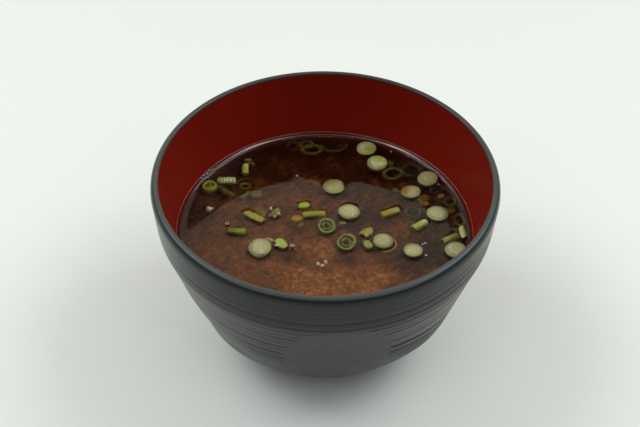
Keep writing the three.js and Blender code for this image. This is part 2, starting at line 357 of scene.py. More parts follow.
class Shade:
    """An output socket of a recipe; arithmetic on it adds Math nodes."""

    def __init__(self, recipe: "Recipe", socket: bpy.types.NodeSocket) -> None:
        """Keeps the socket and the recipe that it belongs to."""
        self.recipe = recipe
        self.socket = socket

    def __add__(self, other: "Number") -> "Shade":
        """Sum of the two."""
        return self.recipe.math("ADD", self, other)

    def __radd__(self, other: "Number") -> "Shade":
        """Sum of the two."""
        return self.recipe.math("ADD", other, self)

    def __sub__(self, other: "Number") -> "Shade":
        """This less the other."""
        return self.recipe.math("SUBTRACT", self, other)

    def __rsub__(self, other: "Number") -> "Shade":
        """The other less this."""
        return self.recipe.math("SUBTRACT", other, self)

    def __mul__(self, other: "Number") -> "Shade":
        """Product of the two."""
        return self.recipe.math("MULTIPLY", self, other)

    def __rmul__(self, other: "Number") -> "Shade":
        """Product of the two."""
        return self.recipe.math("MULTIPLY", other, self)

    def eased(self, low: float, high: float) -> "Shade":
        """Eased step from 0 where this is at low to 1 where it is at high."""
        inputs = {"Value": self, "From Min": low, "From Max": high, "To Min": 0.0, "To Max": 1.0}
        return self.recipe.node("ShaderNodeMapRange", {"interpolation_type": "SMOOTHSTEP"}, inputs)


Number = Union[float, Shade]


class Recipe:
    """The nodes of one material or world, added step by step."""

    def __init__(self, owner: Union[bpy.types.Material, bpy.types.World]) -> None:
        """Empties the owner's node tree and keeps it."""
        owner.use_nodes = True
        self.owner = owner
        self.tree = owner.node_tree
        self.tree.nodes.clear()

    def node(
        self,
        kind: str,
        settings: Mapping[str, object] = NOTHING,
        inputs: Mapping[Union[int, str], object] = NOTHING,
        output: Union[int, str, None] = 0,
    ) -> Union["Shade", None]:
        """Adds a node.

        Args:
            kind: Type of the node.
            settings: Its settings, set first; "stops" are a ramp's places and colours.
            inputs: Values or links of its sockets, by name or number.
            output: Which output to give back, or None for a node that has none.

        Returns:
            The chosen output.
        """
        made = self.tree.nodes.new(kind)
        for name, value in settings.items():
            if name == "stops":
                self._set_stops(made.color_ramp, value)
            else:
                setattr(made, name, value)
        for key, value in inputs.items():
            if isinstance(value, Shade):
                self.tree.links.new(value.socket, made.inputs[key])
            else:
                made.inputs[key].default_value = value
        return None if output is None else Shade(self, made.outputs[output])

    @staticmethod
    def _set_stops(ramp: bpy.types.ColorRamp, stops: Sequence[tuple[float, Colour]]) -> None:
        """Gives a ramp its places and colours, in order.

        Args:
            ramp: The ramp.
            stops: Place and colour of each stop.
        """
        while len(ramp.elements) < len(stops):
            ramp.elements.new(1.0)
        for element, (place, colour) in zip(ramp.elements, stops):
            element.position = place
            element.color = colour

    def math(self, operation: str, first: Number, second: Number = 0.0) -> Shade:
        """Math node on one or two numbers."""
        return self.node("ShaderNodeMath", {"operation": operation}, {0: first, 1: second})

    def trait(self, name: str) -> Shade:
        """Number that the mesh keeps at its points under this name."""
        return self.node("ShaderNodeAttribute", {"attribute_name": name}, output="Fac")

    def place(self, scale: Triple = (1.0, 1.0, 1.0)) -> Shade:
        """Object coordinates in millimetres, stretched along each axis by scale."""
        inputs = {0: self.node("ShaderNodeTexCoord", output="Object"), 1: [each / MM for each in scale]}
        return self.node("ShaderNodeVectorMath", {"operation": "MULTIPLY"}, inputs)

    def noise(self, vector: Shade, scale: float, detail: float = 3.0, rough: float = 0.5) -> Shade:
        """Noise between 0 and 1 over a vector."""
        inputs = {"Vector": vector, "Scale": scale, "Detail": detail, "Roughness": rough}
        return self.node("ShaderNodeTexNoise", NOTHING, inputs, "Fac")

    def ramp(self, value: Shade, stops: Sequence[tuple[float, Colour]]) -> Shade:
        """Colour looked up on a ramp."""
        return self.node("ShaderNodeValToRGB", {"stops": stops}, {"Fac": value}, "Color")

    def blend(self, share: Number, first: Union[Colour, Shade], second: Union[Colour, Shade]) -> Shade:
        """Mix of two colours, the second at share 1."""
        return self.node("ShaderNodeMix", {"data_type": "RGBA"}, {0: share, 6: first, 7: second}, 2)

    def bump(
        self, height: Shade, depth: float, strength: float = 1.0, normal: Union[Shade, None] = None
    ) -> Shade:
        """Normal bent by a height between 0 and 1, worth depth in millimetres, over another normal."""
        inputs = {"Height": height, "Distance": depth * MM, "Strength": strength}
        return self.node("ShaderNodeBump", NOTHING, inputs | ({"Normal": normal} if normal else {}))

    def principled(self, inputs: Mapping[str, object]) -> Shade:
        """Principled shader with these sockets set."""
        return self.node("ShaderNodeBsdfPrincipled", NOTHING, inputs)

    def finish(self, surface: Shade, volume: Union[Shade, None] = None) -> bpy.types.Material:
        """Links the shaders to the output.

        Args:
            surface: Shader of the surface.
            volume: Shader of the volume, or None.

        Returns:
            The material.
        """
        inputs = {"Surface": surface} | ({"Volume": volume} if volume else {})
        self.node("ShaderNodeOutputMaterial", NOTHING, inputs, None)
        return self.owner


def new_recipe(name: str) -> Recipe:
    """Recipe for a new material of that name."""
    return Recipe(bpy.data.materials.new(name))


# ---- finishes ----

# Scale per millimetre, detail and roughness of a noise.
Grit = Triple

PEEL_STRENGTH = 0.6


@dataclass(frozen=True)
class BlackLacquerFinish:
    """Satin black lacquer outside and on the lip, brushed round the bowl, matter on the plain field, with a
    painted sheen on the lip's top.
    """

    black: Colour = (0.0065, 0.0075, 0.0066, 1.0)
    grey: Colour = (0.0145, 0.0165, 0.0142, 1.0)
    field: Colour = (0.051, 0.055, 0.050, 1.0)
    # lip: pale bluish colour painted on the lip's top as its sheen
    lip: Colour = (0.046, 0.072, 0.074, 1.0)
    # worn_and_sheen: reddish colour, worn red on the lip's inner round and a painted pinkish sheen on the
    # front of the outer lip
    worn_and_sheen: Colour = (0.12, 0.035, 0.025, 1.0)
    shine: float = 0.29
    gloss: float = 0.26
    field_gloss: float = 0.46
    gloss_drift: float = 0.08
    brush_stretch: Triple = (0.03, 0.03, 2.2)
    brush: Grit = (1.0, 4.0, 0.6)
    brush_depth: float = 0.035
    brush_edge: Point = (0.35, 0.7)
    field_calm: float = 0.4
    peel: Grit = (0.9, 2.0, 0.5)
    peel_depth: float = 0.01
    scuff: Grit = (0.45, 5.0, 0.7)
    scuff_edge: Point = (0.55, 0.72)
    scuff_share: float = 0.7

    def material(self) -> bpy.types.Material:
        """Builds the material; field, lip and worn_and_sheen are traits of the bowl's mesh.

        Returns:
            The material.
        """
        recipe = new_recipe("black_lacquer")
        place = recipe.place()
        streaks = recipe.noise(recipe.place(self.brush_stretch), *self.brush)
        peel = recipe.noise(place, *self.peel)
        scuffs = recipe.noise(place, *self.scuff)
        plain = recipe.trait("field")
        colour = recipe.blend(streaks.eased(*self.brush_edge), self.black, self.grey)
        colour = recipe.blend(plain, colour, self.field)
        # Painted sheen: the lip's top made pale and bluish, most at the front, least at the back
        colour = recipe.blend(recipe.trait("lip"), colour, self.lip)
        scuffed = 1 - self.scuff_share + self.scuff_share * scuffs.eased(*self.scuff_edge)
        # Worn red on the inner round of the lip, and painted pinkish sheen on the front of the outer lip
        colour = recipe.blend(recipe.trait("worn_and_sheen") * scuffed, colour, self.worn_and_sheen)
        rough = self.gloss + (self.field_gloss - self.gloss) * plain + self.gloss_drift * (streaks - 0.5)
        brushed = recipe.bump(streaks * (1 - self.field_calm * plain), self.brush_depth)
        inputs = {
            "Base Color": colour,
            "Roughness": rough,
            "Specular IOR Level": self.shine,
            "Normal": recipe.bump(peel, self.peel_depth, PEEL_STRENGTH, brushed),
        }
        return recipe.finish(recipe.principled(inputs))


@dataclass(frozen=True)
class RedLacquerFinish:
    """Deep red satin lacquer inside, slightly uneven, with a faint orange peel."""

    red: Colour = (0.225, 0.0105, 0.0042, 1.0)
    deep_red: Colour = (0.185, 0.0085, 0.0034, 1.0)
    # soaked: darker, browner red below the liquid line, partly soup stain and partly painted shade under the
    # broth
    soaked: Colour = (0.095, 0.016, 0.0075, 1.0)
    gloss: float = 0.34
    gloss_drift: float = 0.06
    shine: float = 0.10
    drift: Grit = (0.05, 2.0, 0.5)
    peel: Grit = (0.9, 2.0, 0.5)
    peel_depth: float = 0.01

    def material(self) -> bpy.types.Material:
        """Builds the material; soaked is a trait of the bowl's mesh, 1 below the liquid line, where the red
        is darker and browner: partly soup stain, partly painted shade under the broth.

        Returns:
            The material.
        """
        recipe = new_recipe("red_lacquer")
        place = recipe.place()
        peel = recipe.noise(place, *self.peel)
        colour = recipe.blend(recipe.noise(place, *self.drift), self.red, self.deep_red)
        inputs = {
            "Base Color": recipe.blend(recipe.trait("soaked"), colour, self.soaked),
            "Roughness": self.gloss + self.gloss_drift * (peel - 0.5),
            "Specular IOR Level": self.shine,
            "Normal": recipe.bump(peel, self.peel_depth, PEEL_STRENGTH),
        }
        return recipe.finish(recipe.principled(inputs))


@dataclass(frozen=True)
class BrothFinish:
    """Clear dark amber broth, mirror-smooth on the level and duller on its slope up the wall."""

    tint: Colour = (1.0, 0.97, 0.93, 1.0)
    refraction: float = 1.333
    absorbed: Colour = (0.88, 0.70, 0.42, 1.0)
    density: float = 400.0
    slope_gloss: float = 0.26

    def material(self) -> bpy.types.Material:
        """Builds the material, with its colour in the volume; slope is a trait of the mesh.

        Returns:
            The material.
        """
        recipe = new_recipe("broth")
        inputs = {
            "Base Color": self.tint,
            "Roughness": recipe.trait("slope") * self.slope_gloss,
            "IOR": self.refraction,
            "Transmission Weight": 1.0,
        }
        swallowed = {"Color": self.absorbed, "Density": self.density}
        volume = recipe.node("ShaderNodeVolumeAbsorption", NOTHING, swallowed)
        return recipe.finish(recipe.principled(inputs), volume)


@dataclass(frozen=True)
class CloudFinish:
    """Settling miso: near black where it lies deep, rust where it rises, orange and golden where thick."""

    stops: tuple[tuple[float, Colour], ...] = (
        (0.0, (0.020, 0.0060, 0.0048, 1.0)),
        (0.2, (0.037, 0.0100, 0.0062, 1.0)),
        (0.34, (0.060, 0.0185, 0.0070, 1.0)),
        (0.5, (0.135, 0.055, 0.012, 1.0)),
        (0.63, (0.22, 0.086, 0.016, 1.0)),
        (0.8, (0.31, 0.116, 0.027, 1.0)),
        (1.0, (0.50, 0.25, 0.07, 1.0)),
    )
    fleck: Colour = (0.62, 0.34, 0.09, 1.0)
    wisp: Grit = (0.3, 5.0, 0.6)
    wisp_share: float = 0.55
    wisp_floor: float = 0.12
    clot: Grit = (0.62, 4.0, 0.55)
    clot_share: float = 0.55
    grain: Grit = (1.7, 2.0, 0.6)
    grain_share: float = 0.22
    fine_floor: float = 0.06
    speckle: Grit = (1.2, 1.0, 0.5)
    speckle_edge: Point = (0.62, 0.74)
    speckle_thick: float = 0.08
    speckle_dense: float = 0.6
    thick_edge: Point = (0.25, 0.8)
    dense_edge: Point = (0.72, 1.0)
    dense_share: float = 1.3
    knee: Point = (0.6, 0.2)
    matt: float = 0.9

    def material(self) -> bpy.types.Material:
        """Builds the material; cloud is a trait of the mesh.

        The thickness, which past a knee counts less, is pushed up and down by wisps and by finer
        clots and grains, most where it is thick, and a ramp turns the sum into colour. Flecks lie
        over it where it is densest.

        Returns:
            The material.
        """
        recipe = new_recipe("miso_cloud")
        place = recipe.place()
        wisps, clots, grains, flecks = (
            recipe.noise(place, *grit) for grit in (self.wisp, self.clot, self.grain, self.speckle)
        )
        cloud = recipe.trait("cloud")
        thick = cloud.eased(*self.thick_edge)
        dense = cloud.eased(*self.dense_edge)
        fine = self.clot_share * (clots - 0.5) + self.grain_share * (grains - 0.5)
        slope, start = self.knee
        level = recipe.math("MINIMUM", cloud, slope * cloud + start)
        level = level + self.wisp_share * (wisps - 0.5) * (self.wisp_floor + (1 - self.wisp_floor) * thick)
        fine = fine * (self.fine_floor + (1 - self.fine_floor) * thick) * (1 + self.dense_share * dense)
        colour = recipe.ramp(level + fine, self.stops)
        flecked = self.speckle_thick * thick + self.speckle_dense * dense
        colour = recipe.blend(flecks.eased(*self.speckle_edge) * flecked, colour, self.fleck)
        return recipe.finish(recipe.principled({"Base Color": colour, "Roughness": self.matt}))


@dataclass(frozen=True)
class TideFoamAndHighlightFinish:
    """Thin wet foam where the soup meets the wall, and a thread of painted highlight on the slope below it,
    paler where it is thick.
    """

    thin: Colour = (0.30, 0.145, 0.11, 1.0)
    # thick: the pale colour of the painted highlight where it swells
    thick: Colour = (0.86, 0.66, 0.58, 1.0)
    gloss: float = 0.22
    gloss_drift: float = 0.1
    drift: Grit = (0.4, 2.0, 0.5)
    tide_highlight_share: float = 0.8
    tide_highlight_drift: float = 0.3

    def material(self) -> bpy.types.Material:
        """Builds the material; thick is a trait of the mesh, the swell of the painted highlight.

        Returns:
            The material.
        """
        recipe = new_recipe("tide_foam_and_highlight")
        drift = recipe.noise(recipe.place(), *self.drift)
        # Painted highlight: paler where the thread swells
        share = recipe.trait("thick") * (self.tide_highlight_share + self.tide_highlight_drift * drift)
        colour = recipe.blend(share, self.thin, self.thick)
        inputs = {"Base Color": colour, "Roughness": self.gloss + self.gloss_drift * drift}
        return recipe.finish(recipe.principled(inputs))


@dataclass(frozen=True)
class GrainFinish:
    """Fine bits of soy that hang in the cloud."""

    dark: Colour = (0.20, 0.07, 0.02, 1.0)
    light: Colour = (0.44, 0.22, 0.065, 1.0)
    matt: float = 0.6

    def material(self) -> bpy.types.Material:
        """Builds the material; shade is a trait of the mesh.

        Returns:
            The material.
        """
        recipe = new_recipe("soy_grain")
        colour = recipe.blend(recipe.trait("shade"), self.dark, self.light)
        return recipe.finish(recipe.principled({"Base Color": colour, "Roughness": self.matt}))


@dataclass(frozen=True)
class WhiteFinish:
    """Wet cut face of the white of a scallion, with its layers and a green or amber side."""

    cream: Colour = (0.42, 0.41, 0.185, 1.0)
    grey: Colour = (0.215, 0.215, 0.098, 1.0)
    core: Colour = (0.54, 0.52, 0.29, 1.0)
    line: Colour = (0.20, 0.21, 0.055, 1.0)
    # Painted glints: bright wet dots on the core
    glint_colour: Colour = (0.66, 0.66, 0.42, 1.0)
    # Painted shade on the slice's wall below its top, where it lies in the broth
    shaded_side: Colour = (0.075, 0.06, 0.012, 1.0)
    green: Colour = (0.26, 0.29, 0.022, 1.0)
    amber: Colour = (0.36, 0.225, 0.006, 1.0)
    soaked: Colour = (0.17, 0.125, 0.035, 1.0)
    gloss: float = 0.24
    gloss_drift: float = 0.2
    mottle: Grit = (1.5, 4.0, 0.65)
    mottle_edge: Point = (0.36, 0.64)
    grain: Grit = (2.2, 3.0, 0.6)
    grain_edge: Point = (0.4, 0.6)
    grain_depth: float = 0.08
    glint: Grit = (1.3, 2.0, 0.5)
    glint_edge: Point = (0.62, 0.72)
    core_share: float = 0.45
    core_drift: float = 0.35
    green_share: float = 0.7
    green_drift: float = 0.6
    amber_share: float = 0.85

    def material(self) -> bpy.types.Material:
        """Builds the material; core, layer, green, amber, soak and side are traits of the mesh, side being
        painted shade; the glint dots are painted glints.

        Returns:
            The material.
        """
        recipe = new_recipe("scallion_white")
        place = recipe.place()
        grits = (self.mottle, self.grain, self.glint)
        mottle, grains, glint_dots = (recipe.noise(place, *grit) for grit in grits)
        core = self.core_share + self.core_drift * grains.eased(*self.grain_edge)
        green = self.green_share + self.green_drift * mottle
        base = recipe.blend(mottle.eased(*self.mottle_edge), self.cream, self.grey)
        base = recipe.blend(recipe.trait("core") * core, base, self.core)
        base = recipe.blend(recipe.trait("layer"), base, self.line)
        base = recipe.blend(recipe.trait("green") * green, base, self.green)
        base = recipe.blend(recipe.trait("soak"), base, self.soaked)
        base = recipe.blend(recipe.trait("amber") * self.amber_share, base, self.amber)
        # Painted shade: the slice's wall below the top darkened
        base = recipe.blend(recipe.trait("side"), base, self.shaded_side)
        # Painted glints scattered over the core
        base = recipe.blend(recipe.trait("core") * glint_dots.eased(*self.glint_edge), base, self.glint_colour)
        inputs = {
            "Base Color": base,
            "Roughness": self.gloss + self.gloss_drift * mottle,
            "Normal": recipe.bump(grains, self.grain_depth),
            "Subsurface Weight": 0.2,
            "Subsurface Radius": (1.0, 0.9, 0.4),
            "Subsurface Scale": MM,
            "Coat Weight": 0.25,
            "Coat Roughness": 0.08,
        }
        return recipe.finish(recipe.principled(inputs))


@dataclass(frozen=True)
class LeafFinish:
    """Wet scallion leaf: deep olive, olive, leaf green, olive amber, amber, cream or lime, with veins."""

    name: str
    stops: tuple[tuple[float, Colour], ...] = (
        (0.0, (0.030, 0.026, 0.006, 1.0)),
        (0.2, (0.080, 0.072, 0.012, 1.0)),
        (0.4, (0.180, 0.225, 0.023, 1.0)),
        (0.55, (0.245, 0.185, 0.014, 1.0)),
        (0.7, (0.40, 0.22, 0.014, 1.0)),
        (0.84, (0.50, 0.44, 0.20, 1.0)),
        (1.0, (0.245, 0.315, 0.030, 1.0)),
    )
    # glint_and_pale: painted glints on stalks, rings and nubs, and on curls the pale edges, partly painted
    # glint
    glint_and_pale: Colour = (0.62, 0.64, 0.42, 1.0)
    gloss: float = 0.26
    gloss_drift: float = 0.2
    mottle: Grit = (0.9, 4.0, 0.6)
    mottle_share: float = 0.36
    glint_patches: Grit = (1.7, 3.0, 0.6)
    glint_patches_edge: Point = (0.42, 0.6)
    grain: Grit = (2.5, 3.0, 0.5)
    grain_share: float = 0.3
    vein_depth: float = 0.08

    def material(self) -> bpy.types.Material:
        """Builds the material; tone, vein and glint_and_pale are traits of the mesh, the last painted glints
        and pale edges.

        Returns:
            The material.
        """
        recipe = new_recipe(self.name)
        place = recipe.place()
        mottle, flecks, grains = (recipe.noise(place, *grit) for grit in (self.mottle, self.glint_patches, self.grain))
        colour = recipe.ramp(recipe.trait("tone") + self.mottle_share * (mottle - 0.5), self.stops)
        # Painted glints in patches where glint_and_pale is set
        glinted = recipe.trait("glint_and_pale") * flecks.eased(*self.glint_patches_edge)
        veins = recipe.trait("vein") * (1 - self.grain_share) + self.grain_share * grains
        inputs = {
            "Base Color": recipe.blend(glinted, colour, self.glint_and_pale),
            "Roughness": self.gloss + self.gloss_drift * mottle,
            "Normal": recipe.bump(veins, self.vein_depth),
            "Subsurface Weight": 0.15,
            "Subsurface Radius": (0.7, 0.9, 0.2),
            "Subsurface Scale": MM,
            "Specular IOR Level": 0.25,
            "Coat Weight": 0.15,
            "Coat Roughness": 0.05,
        }
        return recipe.finish(recipe.principled(inputs))


# Painted shade: the leaf's colours darkened for lying in the broth: black olive, olive, brown olive, dull
# amber, orange, cream.
SUNK_SHADED_STOPS = (
    (0.0, (0.014, 0.011, 0.003, 1.0)),
    (0.2, (0.040, 0.042, 0.005, 1.0)),
    (0.4, (0.095, 0.088, 0.007, 1.0)),
    (0.6, (0.16, 0.115, 0.006, 1.0)),
    (0.8, (0.40, 0.18, 0.007, 1.0)),
    (1.0, (0.46, 0.37, 0.12, 1.0)),
)


@dataclass(frozen=True)
class CrumbFinish:
    """Pale pinkish bits of bean skin, wet; with paler colours it also paints the highlight rims of bubbles.
    """

    name: str
    pale: Colour = (0.62, 0.54, 0.43, 1.0)
    tan: Colour = (0.33, 0.21, 0.13, 1.0)
    gloss: float = 0.3
    gloss_drift: float = 0.2
    mottle: Grit = (1.6, 3.0, 0.6)
    mottle_edge: Point = (0.4, 0.65)
    mottle_depth: float = 0.1

    def material(self) -> bpy.types.Material:
        """Builds the material.

        Returns:
            The material.
        """
        recipe = new_recipe(self.name)
        mottle = recipe.noise(recipe.place(), *self.mottle)
        inputs = {
            "Base Color": recipe.blend(mottle.eased(*self.mottle_edge), self.pale, self.tan),
            "Roughness": self.gloss + self.gloss_drift * mottle,
            "Normal": recipe.bump(mottle, self.mottle_depth),
        }
        return recipe.finish(recipe.principled(inputs))


@dataclass(frozen=True)
class FilmFinish:
    """Wet film round a bubble of air, tinted dark brown as painted shade for the bubble's dark middle."""

    # tint: dark brown, painted shade that darkens what is seen through the bubble
    tint: Colour = (0.42, 0.36, 0.33, 1.0)
    refraction: float = 1.8

    def material(self) -> bpy.types.Material:
        """Builds the material.

        Returns:
            The material.
        """
        recipe = new_recipe("bubble_film")
        inputs = {
            "Base Color": self.tint,
            "Roughness": 0.0,
            "IOR": self.refraction,
            "Transmission Weight": 1.0,
        }
        return recipe.finish(recipe.principled(inputs))


@dataclass(frozen=True)
class TableFinish:
    """Plain pale table top."""

    pale: Colour = (0.80, 0.82, 0.80, 1.0)
    paler: Colour = (0.82, 0.835, 0.815, 1.0)
    drift: Grit = (0.01, 2.0, 0.5)
    matt: float = 0.7

    def material(self) -> bpy.types.Material:
        """Builds the material.

        Returns:
            The material.
        """
        recipe = new_recipe("table_top")
        colour = recipe.blend(recipe.noise(recipe.place(), *self.drift), self.pale, self.paler)
        return recipe.finish(recipe.principled({"Base Color": colour, "Roughness": self.matt}))


# ---- bowl ----


@dataclass
class Bowl:
    """Ribbed bowl: foot ring, belly, carved cone, plain band, lip and smooth inside.

    Walls and profiles are [radius, height] points, grooves are [height, depth, width], and a knuckle
    is a bell and its [height, rise] points. A bell is [middle, spread] in degrees round the bowl.
    """

    foot_profile: tuple[Point, ...] = (
        (0.6, 3.0), (22.2, 3.0), (23.4, 2.6), (24.1, 1.8), (24.6, 0.2), (24.8, 0.0),
        (27.4, 0.0), (27.85, 0.15), (28.0, 0.6), (27.9, 3.8), (28.1, 4.6), (28.5, 5.1),
    )
    outer_wall: tuple[Point, ...] = (
        (29.4, 5.4), (33.2, 7.4), (36.5, 10), (39.6, 13), (42.2, 16), (44.6, 20), (46.9, 25), (48.9, 30),
        (50.4, 35), (51.95, 40), (53.4, 45), (55.0, 50), (56.35, 54.5), (56.9, 60), (57.45, 67),
    )
    inner_wall: tuple[Point, ...] = (
        (54.8, 69.2), (54.2, 65), (53.3, 59), (52.1, 52.5), (50.8, 46.7), (50.2, 44.3),
        (48.1, 37), (45.6, 30), (42.3, 23), (38.6, 17.5), (34.0, 13), (28.0, 10.2), (20.0, 8.5),
    )
    floor_profile: tuple[Point, ...] = ((12.0, 8.0), (0.6, 7.8))
    wall_from: float = 5.4
    wall_to: float = 66.2
    belly_rows: int = 16
    carved_step: float = 0.27
    inside_rows: tuple[tuple[float, float, int], ...] = ((69.15, 69.15, 1), (68.9, 40.0, 30), (39.0, 8.6, 16))

    lip_width: float = 2.7
    lip_outer_round: float = 1.6
    lip_outer_tall: float = 1.6
    lip_inner_round: float = 0.7
    lip_outer_rows: int = 12
    lip_inner_rows: int = 8
    # Waves of the painted sheen on the lip's top, and the lip rows over which it comes in
    lip_sheen_waves: tuple[float, ...] = (0.62, -0.38, -0.07, -0.13, 0.2)
    lip_sheen_rows: Point = (4.0, 10.0)
    # Share of the painted pinkish sheen on the front of the outer lip, and where it eases in towards the
    # camera
    front_sheen_share: float = 0.4
    front_sheen_from: Point = (0.55, 0.95)

    grooves: tuple[Triple, ...] = (
        (20.0, 0.16, 0.5), (23.0, 0.22, 0.5), (26.3, 0.20, 0.45), (29.0, 0.24, 0.45), (31.4, 0.2, 0.4),
        (33.2, 0.24, 0.4), (36.7, 0.50, 0.55), (42.2, 0.20, 0.6), (48.2, 0.24, 0.6), (53.4, 0.22, 0.45),
        (56.2, 0.22, 0.4), (59.4, 0.20, 0.45), (62.3, 0.12, 0.3),
    )
    groove_share: float = 0.85
    groove_drift: float = 0.3
    steep_side: float = 0.75
    gentle_side: float = 1.5
    brink_share: float = 0.18
    brink_drop: float = 1.9
    fine_grooves: int = 46
    fine_depth: float = 0.08
    fine_width: float = 0.2
    fine_span: Point = (18.0, 61.0)
    fine_sway: float = 0.4
    fine_share: float = 0.5
    fine_drift: float = 0.9
    fine_most: float = 1.4
    ribs_from: float = 16.0
    ribs_to: float = 64.5
    ribs_start: float = 4.0
    ribs_stop: float = 1.5
    strongest_turn: float = -42.0
    strength: float = 0.42
    strength_swing: float = 0.52
    weakest: float = 0.25

    rib_sway: float = 0.35
    sway_slant: float = 0.05
    droop_below: Point = (52.0, 34.0)
    left_droop: float = 1.4
    left_bell: Point = (-142.0, 24.0)
    right_droop: float = 4.0
    right_bell: Point = (-26.0, 25.0)
    rise_to_right: float = 0.6

    knuckles: tuple[tuple[Point, tuple[Point, ...]], ...] = (
        ((-40.0, 17.0), ((15.0, 0.0), (17.5, 0.35), (22.8, 0.9), (29.5, 0.0))),
        ((-138.0, 17.0), ((15.0, 0.0), (18.3, 0.5), (20.4, -0.1), (24.0, -0.6), (30.0, -0.5), (36.0, 0.0))),
    )

    field_turn: float = -84.5
    field_height: float = 34.0
    field_half_width: float = 17.5
    field_half_height: float = 20.5
    field_share: float = 0.22
    field_edge: Point = (1.03, 0.98)
    ragged_reach: float = 0.03
    ragged_scale: Point = (0.4, 1.8)
    ragged_length: float = 4.0

    # Below the liquid line, over this depth, the red darkens: partly soup stain, partly painted shade
    liquid_line: float = 46.0
    stain_and_shade_depth: float = 2.8
    sides: int = 288
    seed: int = 11

    def __post_init__(self) -> None:
        """Takes the rim's radius and height from the frame."""
        low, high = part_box("bowl")
        self.rim_radius = (high[0] - low[0]) / 2 / MM
        self.rim_height = high[2] / MM

    def outside_radius(self, height: np.ndarray) -> np.ndarray:
        """Radius of the smooth outside at each height."""
        return smooth_radius(self.outer_wall, height)

    def inside_radius(self, height: np.ndarray) -> np.ndarray:
        """Radius of the inside at each height."""
        return smooth_radius(self.inner_wall, height)

    def inside_at(self, height: float) -> float:
        """Radius of the inside at one height."""
        return float(self.inside_radius(np.array(height)))

    def lip_profile(self) -> np.ndarray:
        """Upright quarter ellipse up the outside of the lip, and a quarter circle down its inside.

        Returns:
            Array of [radius, height] points.
        """
        drop = self.lip_outer_round * self.lip_outer_tall
        outer = (self.rim_radius - self.lip_outer_round, self.rim_height - drop)
        inner_radius = self.rim_radius - self.lip_width + self.lip_inner_round
        inner = (inner_radius, self.rim_height - self.lip_inner_round)
        outer_arc = arc(outer, self.lip_outer_round, 0, 90, self.lip_outer_rows, self.lip_outer_tall)
        return np.concatenate([outer_arc, arc(inner, self.lip_inner_round, 90, 180, self.lip_inner_rows)])

    def profile(self) -> tuple[np.ndarray, int, int]:
        """Profile from under the foot, up the outside, over the lip and down the inside.

        Returns:
            The [radius, height] points, and the numbers of the first and last row of the outside wall.
        """
        belly = np.linspace(self.wall_from, self.ribs_from, self.belly_rows)[:-1]
        heights = np.concatenate([belly, np.arange(self.ribs_from, self.wall_to, self.carved_step)])
        wall = np.stack([self.outside_radius(heights), heights], axis=1)
        depths = np.concatenate([np.linspace(*stretch) for stretch in self.inside_rows])
        inside = np.stack([self.inside_radius(depths), depths], axis=1)
        foot, floor = np.array(self.foot_profile), np.array(self.floor_profile)
        rows = np.concatenate([foot, wall, self.lip_profile(), inside, floor])
        return rows, len(foot), len(foot) + len(wall)

    def rib_shift(self, turn: np.ndarray, height: np.ndarray) -> np.ndarray:
        """How far the ribs run below their own height.

        Low ribs droop on both sides of the round field, in bells of the angle, high ones climb
        slowly to the right, and all of them sway.

        Args:
            turn: Angles round the bowl.
            height: Heights on the wall.

        Returns:
            The shift at each place.
        """
        degrees = in_degrees(turn)
        low = smoothstep(height, *self.droop_below)
        droop = self.left_droop * bell(degrees, *self.left_bell)
        droop = droop + self.right_droop * bell(degrees, *self.right_bell)
        climb = self.rise_to_right * np.sin(turn - math.radians(self.field_turn)) * (1 - low)
        return low * droop - climb + self.rib_sway * wobble(turn + height * self.sway_slant, self.seed)

    def in_field(self, turn: np.ndarray, height: np.ndarray) -> np.ndarray:
        """How much of the round plain field on the front there is, with a ragged brushed edge.

        Args:
            turn: Angles round the bowl.
            height: Heights on the wall.

        Returns:
            1 on the field and 0 off it, at each place.
        """
        centre = math.radians(self.field_turn)
        across = np.angle(np.exp(1j * (turn - centre))) * self.outside_radius(height)
        up = (height - self.field_height) / self.field_half_height
        reach = np.hypot(across / self.field_half_width, up)
        aside, along = self.ragged_scale
        ragged = billow(across * aside, height * along, self.seed + 1, self.ragged_length)
        return smoothstep(reach + self.ragged_reach * ragged, *self.field_edge)

    def relief(self, turn: np.ndarray, height: np.ndarray) -> np.ndarray:
        """How far the outside stands in from the smooth wall.

        Each groove is a valley across the height, steep above and gentle below, as deep as its own
        slow wave round the bowl makes it, and between the grooves run fine random tool marks.

        Args:
            turn: Angles round the bowl.
            height: Heights on the wall.

        Returns:
            The depth at each place.
        """
        carved = height + self.rib_shift(turn, height)
        depth = np.zeros_like(carved)
        for number, (level, deep, wide) in enumerate(self.grooves):
            away = carved - level
            width = np.where(away > 0, wide * self.steep_side, wide * self.gentle_side)
            share = self.groove_share + self.groove_drift * wobble(turn, self.seed + 10 + number)
            brink = bell(away, -self.brink_drop * wide, wide)
            depth += deep * (share * bell(away, 0.0, width) - self.brink_share * brink)
        draw = np.random.default_rng(self.seed + 40)
        for number in range(self.fine_grooves):
            level = draw.uniform(*self.fine_span)
            sway = self.fine_sway * wobble(turn, self.seed + 50 + number)
            swing = self.fine_drift * wobble(turn, self.seed + 90 + number, (1, 2, 3))
            share = np.clip(self.fine_share + swing, 0, self.fine_most)
            depth += self.fine_depth * share * bell(carved - sway, level, self.fine_width)
        low_end = smoothstep(height, self.ribs_from, self.ribs_from + self.ribs_start)
        high_end = smoothstep(height, self.ribs_to, self.ribs_to - self.ribs_stop)
        facing = np.cos(turn - math.radians(self.strongest_turn))
        side = np.clip(self.strength + self.strength_swing * facing, self.weakest, 1)
        share = 1 - (1 - self.field_share) * self.in_field(turn, height)
        return depth * low_end * high_end * share * side - self.knuckle(turn, height)

